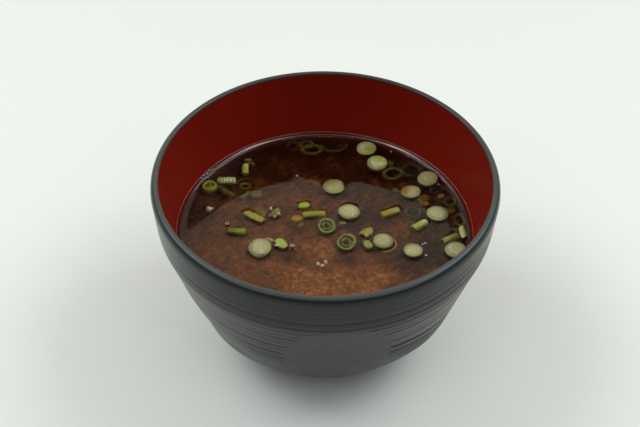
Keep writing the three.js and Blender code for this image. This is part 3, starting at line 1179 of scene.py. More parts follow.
    def knuckle(self, turn: np.ndarray, height: np.ndarray) -> np.ndarray:
        """How far the wall stands out where it turns in.

        On the right it is a tent over the height. On the left a low tent lies under a stretch that
        is drawn flat. Each fades out as a flat-topped bell of the angle.

        Args:
            turn: Angles round the bowl.
            height: Heights on the wall.

        Returns:
            The rise at each place.
        """
        degrees = in_degrees(turn)
        total = np.zeros_like(degrees)
        for place, tent in self.knuckles:
            levels, rises = np.array(tent).T
            total += np.interp(height, levels, rises) * bell(degrees, *place, power=4)
        return total

    def lip_sheen(self, turn: np.ndarray) -> np.ndarray:
        """How strong the painted sheen on the lip's top is round the bowl: a sum of a few waves of the angle.

        Args:
            turn: Angles round the bowl.

        Returns:
            The share of the painted sheen colour at each angle, and below 0 for none.
        """
        steady, front, right, corners, ends = self.lip_sheen_waves
        waves = steady + front * np.sin(turn) + right * np.cos(turn) + corners * np.sin(2 * turn)
        return waves + ends * np.cos(turn) ** 4

    def build(self) -> None:
        """Makes the bowl's one mesh, with its red inside, plain field and lip kept as traits."""
        rows, first, last = self.profile()
        sections, turn = spun(rows, self.sides)
        traits = {name: np.zeros(turn.shape) for name in ("red", "field", "lip", "worn_and_sheen", "soaked")}
        height = sections[first:last, :, 2]
        wall_turn = turn[first:last]
        radius = rows[first:last, :1]
        inward = (radius - self.relief(wall_turn, height)) / radius
        sections[first:last, :, :2] *= inward[..., None]
        traits["field"][first:last] = self.in_field(wall_turn, height)
        lip_top = last + self.lip_outer_rows
        lip_end = lip_top + self.lip_inner_rows
        # Painted sheen on the lip's top rows, strongest at the front towards the camera, least at the back
        climb = smoothstep(np.arange(lip_end - last, dtype=float), *self.lip_sheen_rows)[:, None]
        traits["lip"][last:lip_end] = climb * self.lip_sheen(turn[0])
        # Painted pinkish sheen on the outer lip, only on the side towards the camera; worn red all round the
        # inner round
        towards_camera = smoothstep(-np.sin(turn[0]), *self.front_sheen_from)
        traits["worn_and_sheen"][last:lip_top] = self.front_sheen_share * climb[: self.lip_outer_rows] * towards_camera
        traits["worn_and_sheen"][lip_top:lip_end] = 1.0
        traits["red"][lip_end:] = 1.0
        # Darker red below the liquid line: partly soup stain, partly painted shade under the broth
        wet = smoothstep(sections[lip_end:, :, 2], self.liquid_line, self.liquid_line - self.stain_and_shade_depth)
        traits["soaked"][lip_end:] = wet
        finishes = [BlackLacquerFinish().material(), RedLacquerFinish().material()]
        settle("bowl_lacquer", loft(sections, traits), finishes, ["bowl"], "red")


# ---- soup ----


@dataclass(frozen=True)
class Float:
    """Footprint of a floating piece: a capsule that lifts the liquid round it."""

    x: float
    y: float
    radius: float
    half_length: float = 0.0
    heading: float = 0.0
    lift: float = 0.3
    reach: float = 1.1

    def rise(self, x: np.ndarray, y: np.ndarray) -> np.ndarray:
        """Height that the liquid climbs: lift at the piece, falling off over its reach.

        Args:
            x: Places along X.
            y: Places along Y.

        Returns:
            The climb at each place.
        """
        along_x, along_y = math.cos(math.radians(self.heading)), math.sin(math.radians(self.heading))
        along = (x - self.x) * along_x + (y - self.y) * along_y
        beside = (y - self.y) * along_x - (x - self.x) * along_y
        past = np.maximum(np.abs(along) - self.half_length, 0)
        away = np.hypot(past, beside) - self.radius
        return self.lift * np.exp(-np.maximum(away, 0) / self.reach)


@dataclass
class Soup:
    """Clear broth over a settling cloud of miso, with a rise at the wall and round each piece.

    Bubbles are [x, y, radius], patches of the cloud are [x, y, reach, strength], and threads of foam
    and of painted highlight are [gap to the wall, width, swell].
    """

    bowl: Bowl
    floats: list[Float]
    level: float = 44.3
    sides: int = 400
    seed: int = 23

    wall_rise: float = 1.8
    wall_reach: float = 1.0
    into_wall: float = 0.15
    slope_width: Point = (2.6, 0.6)
    disc_rings: int = 165
    disc_least: float = 0.004
    disc_crowding: float = 1.15

    broth_under_bed: float = 3.0
    broth_side_top: float = 0.5
    broth_side_rows: int = 12
    broth_floor: tuple[float, ...] = (1.0, 30.0)

    bed_depth: float = 5.0
    bed_swell: float = 3.3
    bed_lumps: float = 0.4
    bed_lump_length: float = 3.2
    bed_brim: float = 0.8
    cloud_side_foot: float = 8.7
    cloud_side_top: float = 0.3
    cloud_side_rows: int = 20
    cloud_floor: tuple[Point, ...] = ((1.0, 7.9), (12.0, 8.1))

    base_cloud: float = 0.47
    cloud_range: Point = (0.02, 1.0)
    wide_billow: Point = (0.08, 9.0)
    close_billow: Point = (0.07, 3.5)
    wall_shoal: float = 5.0
    wall_thinning: float = 0.3
    patches: tuple[tuple[float, float, float, float], ...] = (
        (6, -27, 17, 0.60), (-8, -22, 10, 0.28), (18, -24, 9, 0.16), (-3, -7, 7, 0.42),
        (-20, 0, 8, 0.20), (-38, -8, 12, 0.23), (-26, -18, 12, 0.20), (-26, 13, 8, 0.16),
        (-24, 26, 8, 0.02), (-36, 10, 6, 0.14), (26, 1, 6, 0.22), (10, 27, 9, -0.10),
        (-8, 17, 9, 0.20), (6, 13, 4, 0.12), (-5, -14, 5, -0.30), (-12, -11, 4, -0.24),
        (15, 5, 5, -0.24), (26, -14, 6, -0.13), (37, -6, 9, -0.16), (33, 14, 6, -0.06),
        (-30, 38, 12, -0.20), (36, 30, 12, -0.20), (0, 42, 18, -0.22), (-45, 8, 7, -0.16),
        (-18, 32, 10, -0.06), (20, 38, 10, -0.12), (41, 21, 4, 0.08), (9, -14, 4, -0.40),
        (2, -19, 3, -0.20), (16, -6, 4, -0.12),
    )

    grain_tries: int = 26000
    grain_reach: float = 47.0
    grain_falloff: float = 3.4
    grain_size: Point = (0.08, 0.2)
    grain_depth: Point = (0.7, 2.6)
    grain_stretch: Point = (0.6, 1.3)
    grain_flatness: float = 0.7
    small_share: float = 0.95
    large_extra: float = 0.9

    bubble_foot: float = 0.9
    bubble_lift: float = 0.5
    bubble_reach: float = 0.5
    bubbles: tuple[Triple, ...] = (
        (-42.6, 26.0, 0.6), (-41.9, 27.6, 0.45), (-43.6, 24.9, 0.42), (-41.0, 28.6, 0.32),
        (-44.3, 23.6, 0.36), (-33.6, 0.9, 0.8), (-10.8, -9.5, 0.8), (-16.2, -9.1, 0.6),
        (-10.3, 27.0, 0.35), (24.1, 41.3, 0.35), (-20.2, -12.9, 0.5), (-21.4, -13.0, 0.3),
        (40.5, 23.6, 0.32),
    )

    # The first thread is foam at the wall; the second is a painted highlight on the slope below
    threads: tuple[Triple, ...] = ((0.0, 0.18, 0.0), (0.62, 0.19, 0.38))
    # Angles and spreads in degrees where the painted highlight swells and is palest
    highlight_swells: tuple[Point, ...] = ((122.0, 11.0), (57.5, 10.0))
    thread_sides: int = 8
    thread_wave: float = 0.25
    thread_waves: tuple[int, ...] = (3, 7, 12)
    thread_least: float = 0.02
    # Where the painted highlight fades in towards the far side
    highlight_far_side: Point = (0.35, 0.75)
    thread_float: float = 0.3

    def __post_init__(self) -> None:
        """Adds the bubbles to what lifts the liquid."""
        for x, y, radius in self.bubbles:
            foot, lift = self.bubble_foot * radius, self.bubble_lift * radius
            self.floats.append(Float(x, y, foot, lift=lift, reach=self.bubble_reach))

    def contact(self) -> float:
        """Radius at which the liquid meets the wall."""
        return self.bowl.inside_at(self.level + self.wall_rise)

    def surface(self, x: np.ndarray, y: np.ndarray) -> np.ndarray:
        """Height of the surface.

        It is the level, plus a rise that dies away from the wall, plus the highest rise of the
        floating pieces.

        Args:
            x: Places along X.
            y: Places along Y.

        Returns:
            The height at each place.
        """
        gap = np.maximum(self.contact() - np.hypot(x, y), 0)
        lifted = np.max([each.rise(x, y) for each in self.floats], axis=0)
        return self.level + self.wall_rise * np.exp(-gap / self.wall_reach) + lifted

    def surface_at(self, x: float, y: float) -> float:
        """Height of the surface at one place."""
        return float(self.surface(np.array([x]), np.array([y]))[0])

    def cloud(self, x: np.ndarray, y: np.ndarray) -> np.ndarray:
        """How thick the miso cloud is: a base, soft round patches and rolling noise.

        Args:
            x: Places along X.
            y: Places along Y.

        Returns:
            The thickness at each place, from about 0 to 1.
        """
        thick = np.full_like(x, self.base_cloud)
        for at_x, at_y, reach, strength in self.patches:
            thick += strength * np.exp(-((x - at_x) ** 2 + (y - at_y) ** 2) / reach**2)
        (wide, wide_length), (close, close_length) = self.wide_billow, self.close_billow
        wide_roll = billow(x, y, self.seed, wide_length)
        thick += wide * wide_roll + close * billow(x, y, self.seed + 1, close_length)
        edge = self.bowl.inside_at(self.level)
        near = smoothstep(np.hypot(x, y), edge - self.wall_shoal, edge)
        return np.clip(thick * (1 - self.wall_thinning * near), *self.cloud_range)

    def disc(self, radius: float) -> tuple[np.ndarray, np.ndarray]:
        """Places on a disc from its edge to near its middle, closer together at the edge.

        Args:
            radius: Radius of the disc.

        Returns:
            The places along X and along Y, as rings by points.
        """
        share = np.linspace(1, self.disc_least, self.disc_rings)
        reach = radius * (1 - (1 - share) ** self.disc_crowding)
        turn = np.arange(self.sides) * TURN / self.sides
        return reach[:, None] * np.cos(turn), reach[:, None] * np.sin(turn)

    def side(self, low: float, high: float, rows: int) -> np.ndarray:
        """Points [radius, height] up the bowl's inside, a little way into the wall."""
        heights = np.linspace(low, high, rows)
        return np.stack([self.bowl.inside_radius(heights) + self.into_wall, heights], axis=1)

    def build_broth(self) -> None:
        """The clear layer: its surface, and below it a side and a floor hidden in wall and cloud."""
        edge = self.contact() + self.into_wall
        x, y = self.disc(edge)
        top = np.stack([x, y, self.surface(x, y)], axis=-1)
        floor = self.level - self.bed_depth - self.broth_under_bed
        side = self.side(floor, self.level + self.wall_rise - self.broth_side_top, self.broth_side_rows)
        under = np.concatenate([[(radius, floor) for radius in self.broth_floor], side])
        below, _ = spun(under, self.sides)
        slope = smoothstep(edge - np.hypot(x, y), *self.slope_width)
        traits = {"slope": np.concatenate([np.zeros(below.shape[:2]), slope])}
        skin = loft(np.concatenate([below, top]), traits)
        settle("broth", skin, [BrothFinish().material()], ["soup"])

    def build_cloud(self) -> None:
        """The cloud: a bed that rises where it is thick, and rolls, over a body that fills the bowl."""
        brim = self.level - self.bed_depth + self.bed_brim
        x, y = self.disc(self.bowl.inside_at(brim) + self.into_wall)
        thick = self.cloud(x, y)
        lumps = self.bed_lumps * billow(x, y, self.seed + 5, self.bed_lump_length)
        bed = self.level - self.bed_depth + self.bed_swell * thick + lumps
        top = np.stack([x, y, bed], axis=-1)
        side = self.side(self.cloud_side_foot, brim - self.cloud_side_top, self.cloud_side_rows)
        below, _ = spun(np.concatenate([self.cloud_floor, side]), self.sides)
        traits = {"cloud": np.concatenate([np.full(below.shape[:2], self.base_cloud), thick])}
        skin = loft(np.concatenate([below, top]), traits)
        settle("miso_cloud", skin, [CloudFinish().material()])

    def build_grains(self) -> None:
        """Fine eight-faced grains that hang in the broth above the cloud, most where it is thick."""
        draw = np.random.default_rng(self.seed + 9)
        reach = self.grain_reach * np.sqrt(draw.uniform(0, 1, self.grain_tries))
        turn = draw.uniform(0, TURN, self.grain_tries)
        x, y = reach * np.cos(turn), reach * np.sin(turn)
        kept = draw.uniform(0, 1, self.grain_tries) < self.cloud(x, y) ** self.grain_falloff
        x, y = x[kept], y[kept]
        count = len(x)
        size = draw.uniform(*self.grain_size, count)
        size = size * (1 + self.large_extra * (draw.uniform(0, 1, count) > self.small_share))
        z = self.level - draw.uniform(*self.grain_depth, count)
        tip = self.grain_flatness
        axes = np.array([(1, 0, 0), (0, 1, 0), (-1, 0, 0), (0, -1, 0), (0, 0, tip), (0, 0, -tip)])
        stretch = size[:, None, None] * draw.uniform(*self.grain_stretch, (count, 1, 3))
        points = np.stack([x, y, z], axis=-1)[:, None, :] + axes * stretch
        after = [(k, (k + 1) % 4) for k in range(4)]
        pattern = np.array([(k, then, 4) for k, then in after] + [(then, k, 5) for k, then in after])
        triangles = (pattern + 6 * np.arange(count)[:, None, None]).reshape(-1, 3)
        shade = np.repeat(draw.uniform(0, 1, count), 6)
        skin = Skin(points.reshape(-1, 3), np.zeros((0, 4), dtype=int), triangles, {"shade": shade})
        settle("soy_grains", skin, [GrainFinish().material()])

    def thread(self, gap: float, width: float, swell: float) -> Skin:
        """A thread on the liquid: a small circle carried round the bowl.

        Its width has a slow wave and swells as a bell of the angle in two places. A thread that
        stands off the wall is a painted highlight, the reflection of the lamps on the far slope, and
        fades out on the near side.

        Args:
            gap: How far it stands off the wall.
            width: Its width.
            swell: How much wider it gets in the two places.

        Returns:
            The thread; off the wall, its swell is kept as its thickness, which pales the painted highlight.
        """
        reach = self.contact() - gap
        height = self.level + self.wall_rise * math.exp(-gap / self.wall_reach)
        around = np.arange(self.thread_sides) * TURN / self.thread_sides
        girth = np.stack([np.cos(around), np.sin(around)], axis=1) / 2
        sections, turn = spun(girth + np.array([reach, height]), self.sides)
        centre = np.stack([reach * np.cos(turn), reach * np.sin(turn), np.full_like(turn, height)], axis=-1)
        # Swell of the painted highlight, palest in two places
        thick = sum(bell(in_degrees(turn), *place) for place in self.highlight_swells)
        wave = self.thread_wave * wobble(turn, self.seed + 3, self.thread_waves)
        share = width * (1 + wave) + swell * thick
        if gap:
            # The painted highlight shows only on the far side
            on_far_side = smoothstep(np.sin(turn), *self.highlight_far_side)
            share = share * (self.thread_least + (1 - self.thread_least) * on_far_side)
        flat = np.zeros_like(turn)
        middle = centre + np.stack([flat, flat, self.thread_float * share], axis=-1)
        skin = middle - (centre - sections) * share[..., None]
        return loft(skin, {"thick": thick if gap else flat}, ring=True)

    def build_tide_line_and_highlight(self) -> None:
        """Two threads: foam where the liquid meets the wall, and a painted highlight on the far slope below
        it.
        """
        threads = [self.thread(*row) for row in self.threads]
        settle("tide_line_and_highlight", joined(threads), [TideFoamAndHighlightFinish().material()])

    def build(self) -> None:
        """Makes broth, cloud, grains, and the tide line with its painted highlight."""
        self.build_broth()
        self.build_cloud()
        self.build_grains()
        self.build_tide_line_and_highlight()


# ---- scallion ----


@dataclass(frozen=True)
class Slice:
    """A white round: its width and lean as in the frame, and where its green and amber sides lie."""

    node: str
    across: float
    lean: float
    towards: float
    oval: float
    green: float = 0.0
    green_at: float = 0.0
    amber: float = 0.0
    amber_at: float = 0.0
    soak: float = 0.0
    thickness: float = 2.3
    edge: float = 0.5
    dome: float = 0.2
    layers: tuple[Point, ...] = ((0.40, 0.35), (0.62, 0.4), (0.84, 0.8))
    layer_width: float = 0.03
    layer_depth: float = 0.07
    outline_wobble: float = 0.022
    layer_wobble: float = 0.05
    top_wobble: float = 0.05
    core_edge: Point = (0.8, 0.55)
    # Depths below the top over which the painted shade of the wall comes in
    shaded_depth: Point = (0.12, 0.75)
    patch_centre: float = 0.55
    patch_edge: Point = (0.95, 0.25)
    top_rows: int = 24
    sides: int = 64

    def skin(self, spot: np.ndarray, seed: int) -> Skin:
        """Surface of the slice.

        The profile runs from the middle of the bottom, round two softened edges, to the middle of
        the domed top. The outline wobbles, and shallow rings mark the layers on top.

        Args:
            spot: Where its middle goes.
            seed: Seed of its unevenness.

        Returns:
            The surface, in place.
        """
        radius, half = self.across / 2, self.thickness / 2
        bottom = np.stack([np.linspace(0.1, radius - self.edge, 6), np.full(6, -half)], axis=1)
        lower = arc((radius - self.edge, -half + self.edge), self.edge, -80, -10, 6)
        upper = arc((radius - self.edge, half - self.edge), self.edge, 5, 85, 8)
        reach = np.linspace(radius - self.edge, 0.08, self.top_rows)
        top = np.stack([reach, half + self.dome * (1 - (reach / (radius - self.edge)) ** 2)], axis=1)
        profile = np.concatenate([bottom, lower, upper, top])
        sections, turn = spun(profile, self.sides)
        share = np.broadcast_to(profile[:, :1] / radius, turn.shape)
        sections[..., :2] *= (1 + self.outline_wobble * wobble(turn, seed))[..., None]
        drift = share * (1 + self.layer_wobble * wobble(turn, seed + 1, (1, 2, 3)))
        rings = sum(strength * bell(drift, at, self.layer_width) for at, strength in self.layers)
        on_top = (np.arange(len(profile)) >= len(profile) - self.top_rows)[:, None]
        swell = self.top_wobble * wobble(turn, seed + 2, (1, 2)) * share * on_top
        sections[..., 2] -= self.layer_depth * rings * on_top - swell
        sections[..., 1] *= self.oval
        depth = half - np.broadcast_to(profile[:, 1:], turn.shape)
        traits = {
            "layer": np.clip(rings * on_top * 0.6, 0, 1),
            "core": smoothstep(drift, *self.core_edge),
            "green": self.side(turn, share, self.green_at, self.green),
            "amber": self.side(turn, share, self.amber_at, self.amber),
            "soak": np.full_like(share, self.soak),
            # side: painted shade on the slice's wall below its top
            "side": smoothstep(depth, *self.shaded_depth),
        }
        slant = math.radians(self.towards)
        roll, pitch = -self.lean * math.sin(slant), self.lean * math.cos(slant)
        return loft(sections, traits).placed(spot - np.array([0, 0, self.dome / 2]), 0.0, pitch, roll)

    def side(self, turn: np.ndarray, share: np.ndarray, at: float, strength: float) -> np.ndarray:
        """Patch towards one side: strength times an eased step of the distance to that side.

        Args:
            turn: Angles round the slice.
            share: Radii as a share of the slice's own.
            at: Angle of the side in degrees.
            strength: Strength of the patch.

        Returns:
            The patch at each place.
        """
        aside = self.patch_centre * math.cos(math.radians(at))
        ahead = self.patch_centre * math.sin(math.radians(at))
        away = np.hypot(share * np.cos(turn) - aside, share * np.sin(turn) - ahead)
        return strength * smoothstep(away, *self.patch_edge)


@dataclass(frozen=True)
class Ring:
    """An open green ring, lying flat: width, oval ratio, turn and wall, and the share that is left."""

    across: float
    oval: float
    turn: float
    wall: float
    tone: float = 0.3
    # Strength of painted glints in patches on the ring's inner side
    glint_and_pale: float = 0.0
    shown: float = 1.0
    thickness: float = 2.4
    folds: int = 0
    squareness: float = 0.75
    outline_wobble: float = 0.04
    top_wobble: float = 0.12
    tone_wobble: float = 0.07
    lit_share: float = 0.10
    crinkles: int = 34
    crinkle_depth: float = 0.006
    end_taper: float = 0.35
    girth_sides: int = 24
    sides: int = 96

    def folded(self, spot: np.ndarray, seed: int) -> Skin:
        """The ring with its folds: smaller open arcs inside it, each turned on and paler, with more painted
        glint.

        Args:
            spot: Where its middle goes.
            seed: Seed of its unevenness.

        Returns:
            The surface, in place.
        """
        skins = [self.skin(spot, seed)]
        for number in range(self.folds):
            inner = Ring(
                across=(self.across - 2 * self.wall) * (0.9 - 0.2 * number),
                oval=1.15,
                turn=self.turn + 95 + 135 * number,
                wall=self.wall * 0.8,
                tone=self.tone + 0.02 + 0.12 * number,
                glint_and_pale=0.15 + 0.3 * number,
                shown=0.6 - 0.12 * number,
                thickness=self.thickness * 0.6,
            )
            aside = np.array([0.25 - 0.4 * number, 0.3 * number, 0.1 + 0.15 * number])
            skins.append(inner.skin(spot + aside, seed + 30 + number))
        return joined(skins)

    def skin(self, spot: np.ndarray, seed: int, pitch: float = 0.0, roll: float = 0.0) -> Skin:
        """Surface of the ring: a rounded section carried round an oval.

        Args:
            spot: Where its middle goes.
            seed: Seed of its unevenness.
            pitch: Tip about Y in degrees.
            roll: Tip about X in degrees.

        Returns:
            The surface, in place.
        """
        loop = np.arange(self.girth_sides) * TURN / self.girth_sides
        wide = np.sign(np.cos(loop)) * np.abs(np.cos(loop)) ** self.squareness * self.wall / 2
        tall = np.sign(np.sin(loop)) * np.abs(np.sin(loop)) ** self.squareness * self.thickness / 2
        profile = np.stack([self.across / 2 - self.wall / 2 + wide, tall], axis=1)
        sections, turn = spun(profile, self.sides, self.shown)
        if self.shown < 1:
            ends = np.clip(np.minimum(turn, self.shown * TURN - turn) / self.end_taper, 0.02, 1) ** 0.5
            middle = np.stack([np.cos(turn), np.sin(turn), np.zeros_like(turn)], axis=-1)
            middle *= self.across / 2 - self.wall / 2
            sections = middle + (sections - middle) * ends[..., None]
        crinkle = np.cos(self.crinkles * turn)
        outline = 1 + self.outline_wobble * wobble(turn, seed) + self.crinkle_depth * crinkle
        sections[..., :2] *= outline[..., None]
        sections[..., 2] += self.top_wobble * wobble(turn, seed + 1, (1, 2, 3)) * (tall[:, None] > 0)
        sections[..., 0] *= self.oval
        lit = np.broadcast_to((wide / self.wall + 0.5)[:, None], turn.shape)
        tone = self.tone + self.tone_wobble * wobble(turn, seed + 2, (1, 2, 3)) - self.lit_share * (lit - 0.5)
        # Painted glints in patches on the inner side of the wall
        patches = smoothstep(wobble(turn, seed + 3, (2, 3, 5)), 0.1, 0.5)
        glint_and_pale = self.glint_and_pale * patches * smoothstep(lit, 0.5, 0.1)
        traits = {"tone": tone, "vein": 0.5 + 0.5 * crinkle, "glint_and_pale": glint_and_pale}
        if self.shown < 1:
            turned = {name: value.T for name, value in traits.items()}
            return loft(np.swapaxes(sections, 0, 1), turned).placed(spot, self.turn, pitch, roll)
        return loft(sections, traits, ring=True).placed(spot, self.turn, pitch, roll)


@dataclass(frozen=True)
class Stalk:
    """A length of hollow leaf on its side: length, width, heading, and its tone from end to end."""

    length: float
    across: float
    heading: float
    tones: Point = (0.3, 0.3)
    ripple: float = 0.0
    bend: float = 0.0
    # Strength and place along the stalk of a painted glint on its top
    glint_and_pale: Point = (0.0, 0.5)
    wall: float = 0.75
    ridges: int = 13
    ridge_height: float = 0.035
    outline_wobble: float = 0.04
    tone_wobble: float = 0.07
    ripple_length: float = 1.15
    glint_spread: float = 0.28
    outside_rows: int = 30
    bore_rows: int = 8
    sides: int = 48

    def skin(self, spot: np.ndarray, seed: int, pitch: float = 0.0) -> Skin:
        """Surface of the tube.

        A closed profile, up the outside with rounded ends and back through the bore, is spun about
        the tube's own axis. Ridges run along it, a ripple runs round it, and it may bend sideways.

        Args:
            spot: Where its middle goes.
            seed: Seed of its unevenness.
            pitch: Dip of its far end in degrees.

        Returns:
            The surface, in place.
        """
        outer, inner, half = self.across / 2, self.across / 2 - self.wall, self.length / 2
        soft = self.wall / 2
        along = np.linspace(-half + soft, half - soft, self.outside_rows)
        back = np.linspace(half - soft, -half + soft, self.bore_rows)
        outside = np.stack([np.full(self.outside_rows, outer), along], axis=1)
        far = arc((outer - soft, half - soft), soft, 70, 110, 3)
        bore = np.stack([np.full(self.bore_rows, inner), back], axis=1)
        near = arc((outer - soft, -half + soft), soft, 250, 290, 3)
        profile = np.concatenate([outside, far, bore, near])
        sections, turn = spun(profile, self.sides)
        share = sections[..., 2] / self.length + 0.5
        swell = 1 + self.ridge_height * np.cos(self.ridges * turn)
        swell = swell + self.outline_wobble * wobble(turn + share * 2, seed)
        ripples = share * self.length * TURN / self.ripple_length
        swell = swell + self.ripple * np.cos(ripples + 0.5 * np.sin(turn))
        sections[..., :2] *= swell[..., None]
        sections = sections[..., [2, 1, 0]] * np.array([1.0, 1.0, -1.0])
        sections[..., 1] += self.bend * (sections[..., 0] / half) ** 2
        first, last = self.tones
        tone = first + (last - first) * smoothstep(share, 0.1, 0.9)
        tone = tone + self.tone_wobble * wobble(turn, seed + 1)
        # Painted glint on the top of the stalk, around one place along it
        strength, at = self.glint_and_pale
        glint_and_pale = strength * smoothstep(-np.cos(turn), 0.0, 0.9) * bell(share, at, self.glint_spread)
        traits = {"tone": tone, "vein": 0.5 + 0.5 * np.cos(2 * self.ridges * turn), "glint_and_pale": glint_and_pale}
        return loft(sections, traits, ring=True).placed(spot, self.heading, pitch)


@dataclass(frozen=True)
class Curl:
    """A split strip of leaf, curled about its length with its back up."""

    length: float
    radius: float
    spread: float
    heading: float
    tones: Point = (0.6, 0.6)
    # Strength of the pale edges, partly painted glint
    glint_and_pale: float = 0.3
    thickness: float = 0.8
    end_width: float = 0.62
    waver: float = 0.12
    side_ripple: Point = (0.02, 60.0)
    end_slant: float = 0.25
    tone_drift: float = 0.1
    veins: float = 14.0
    across_points: int = 15
    rows: int = 34

    def skin(self, spot: np.ndarray, seed: int) -> Skin:
        """Surface of the strip: a curved band with round edges, narrower and lower at its ends.

        Args:
            spot: Where the middle of its back goes.
            seed: Seed of its unevenness.

        Returns:
            The surface, in place.
        """
        half_turn = math.radians(self.spread / 2)
        angle = np.linspace(half_turn, -half_turn, self.across_points)
        mean = self.radius - self.thickness / 2
        thin = self.thickness / 2 * np.sqrt(np.clip(1 - (angle / half_turn) ** 6, 0.05, 1))
        outside = np.stack([(mean + thin) * np.sin(angle), (mean + thin) * np.cos(angle)], axis=1)
        inside = np.stack([(mean - thin) * np.sin(angle), (mean - thin) * np.cos(angle)], axis=1)[::-1]
        loop = np.concatenate([outside, inside])
        share = np.linspace(0, 1, self.rows)[:, None]
        fullness = np.sin(np.pi * np.clip(share, 0.02, 0.98)) ** 0.5
        ends = self.end_width + (1 - self.end_width) * fullness
        waver = self.waver * wobble(share * TURN * 0.8, seed)
        ripple, ripples = self.side_ripple
        side = loop[:, 0] * (ends + waver) * (1 + ripple * np.cos(share * ripples))
        rise = (loop[:, 1] - self.radius) * ends + 0.15 * (ends - 1) * self.radius
        along = (share - 0.5) * self.length + self.end_slant * np.cos(loop[:, 0] * 1.3 + seed)
        sections = np.stack([along, side, np.broadcast_to(rise, side.shape)], axis=-1)
        first, last = self.tones
        tone = first + (last - first) * share + self.tone_drift * np.cos(loop[:, 0] * 2.1 + seed)
        vein = np.broadcast_to(0.5 + 0.5 * np.cos(loop[:, 0] * self.veins), side.shape)
        # Pale edges of the strip, partly painted glint
        rim = smoothstep(np.abs(loop[:, 0]) / np.abs(loop[:, 0]).max(), 0.6, 0.95)
        glint_and_pale = self.glint_and_pale * np.broadcast_to(rim, side.shape)
        return loft(sections, {"tone": tone, "vein": vein, "glint_and_pale": glint_and_pale}).placed(spot, self.heading)


@dataclass(frozen=True)
class Nub:
    """A bean-shaped end of leaf."""

    length: float
    across: float
    heading: float
    tones: Point = (0.3, 0.4)
    # Strength of a painted glint at its first end
    glint_and_pale: float = 0.0
    thickness: float = 2.4
    bluntness: float = 2.6
    fold_depth: float = 0.13
    fold_aside: float = 0.35
    fold_spread: float = 0.32
    outline_wobble: float = 0.05
    tone_wobble: float = 0.05
    veins: int = 18
    rows: int = 36
    sides: int = 40

    def skin(self, spot: np.ndarray, seed: int) -> Skin:
        """Surface of the lump: a rounded body along X with a shallow fold down its back.

        Args:
            spot: Where its middle goes.
            seed: Seed of its unevenness.

        Returns:
            The surface, in place.
        """
        share = np.linspace(0.004, 0.996, self.rows)[:, None]
        turn = np.arange(self.sides) * TURN / self.sides
        girth = np.clip(1 - np.abs(2 * share - 1) ** self.bluntness, 0, 1) ** 0.5
        fold = 1 - self.fold_depth * bell(turn - math.pi / 2, -self.fold_aside, self.fold_spread) * girth
        uneven = 1 + self.outline_wobble * wobble(turn + share * 3, seed)
        side = self.across / 2 * girth * np.cos(turn) * uneven
        tall = self.thickness / 2 * girth * np.sin(turn) * uneven * fold
        along = np.broadcast_to((share - 0.5) * self.length, side.shape)
        first, last = self.tones
        tone = first + (last - first) * share + self.tone_wobble * wobble(turn, seed + 1)
        traits = {
            "tone": tone,
            "vein": np.broadcast_to(0.5 + 0.5 * np.cos(self.veins * turn), side.shape),
            # Painted glint at the first end
            "glint_and_pale": np.broadcast_to(self.glint_and_pale * smoothstep(share, 0.25, 0.0), side.shape),
        }
        return loft(np.stack([along, side, tall], axis=-1), traits).placed(spot, self.heading)


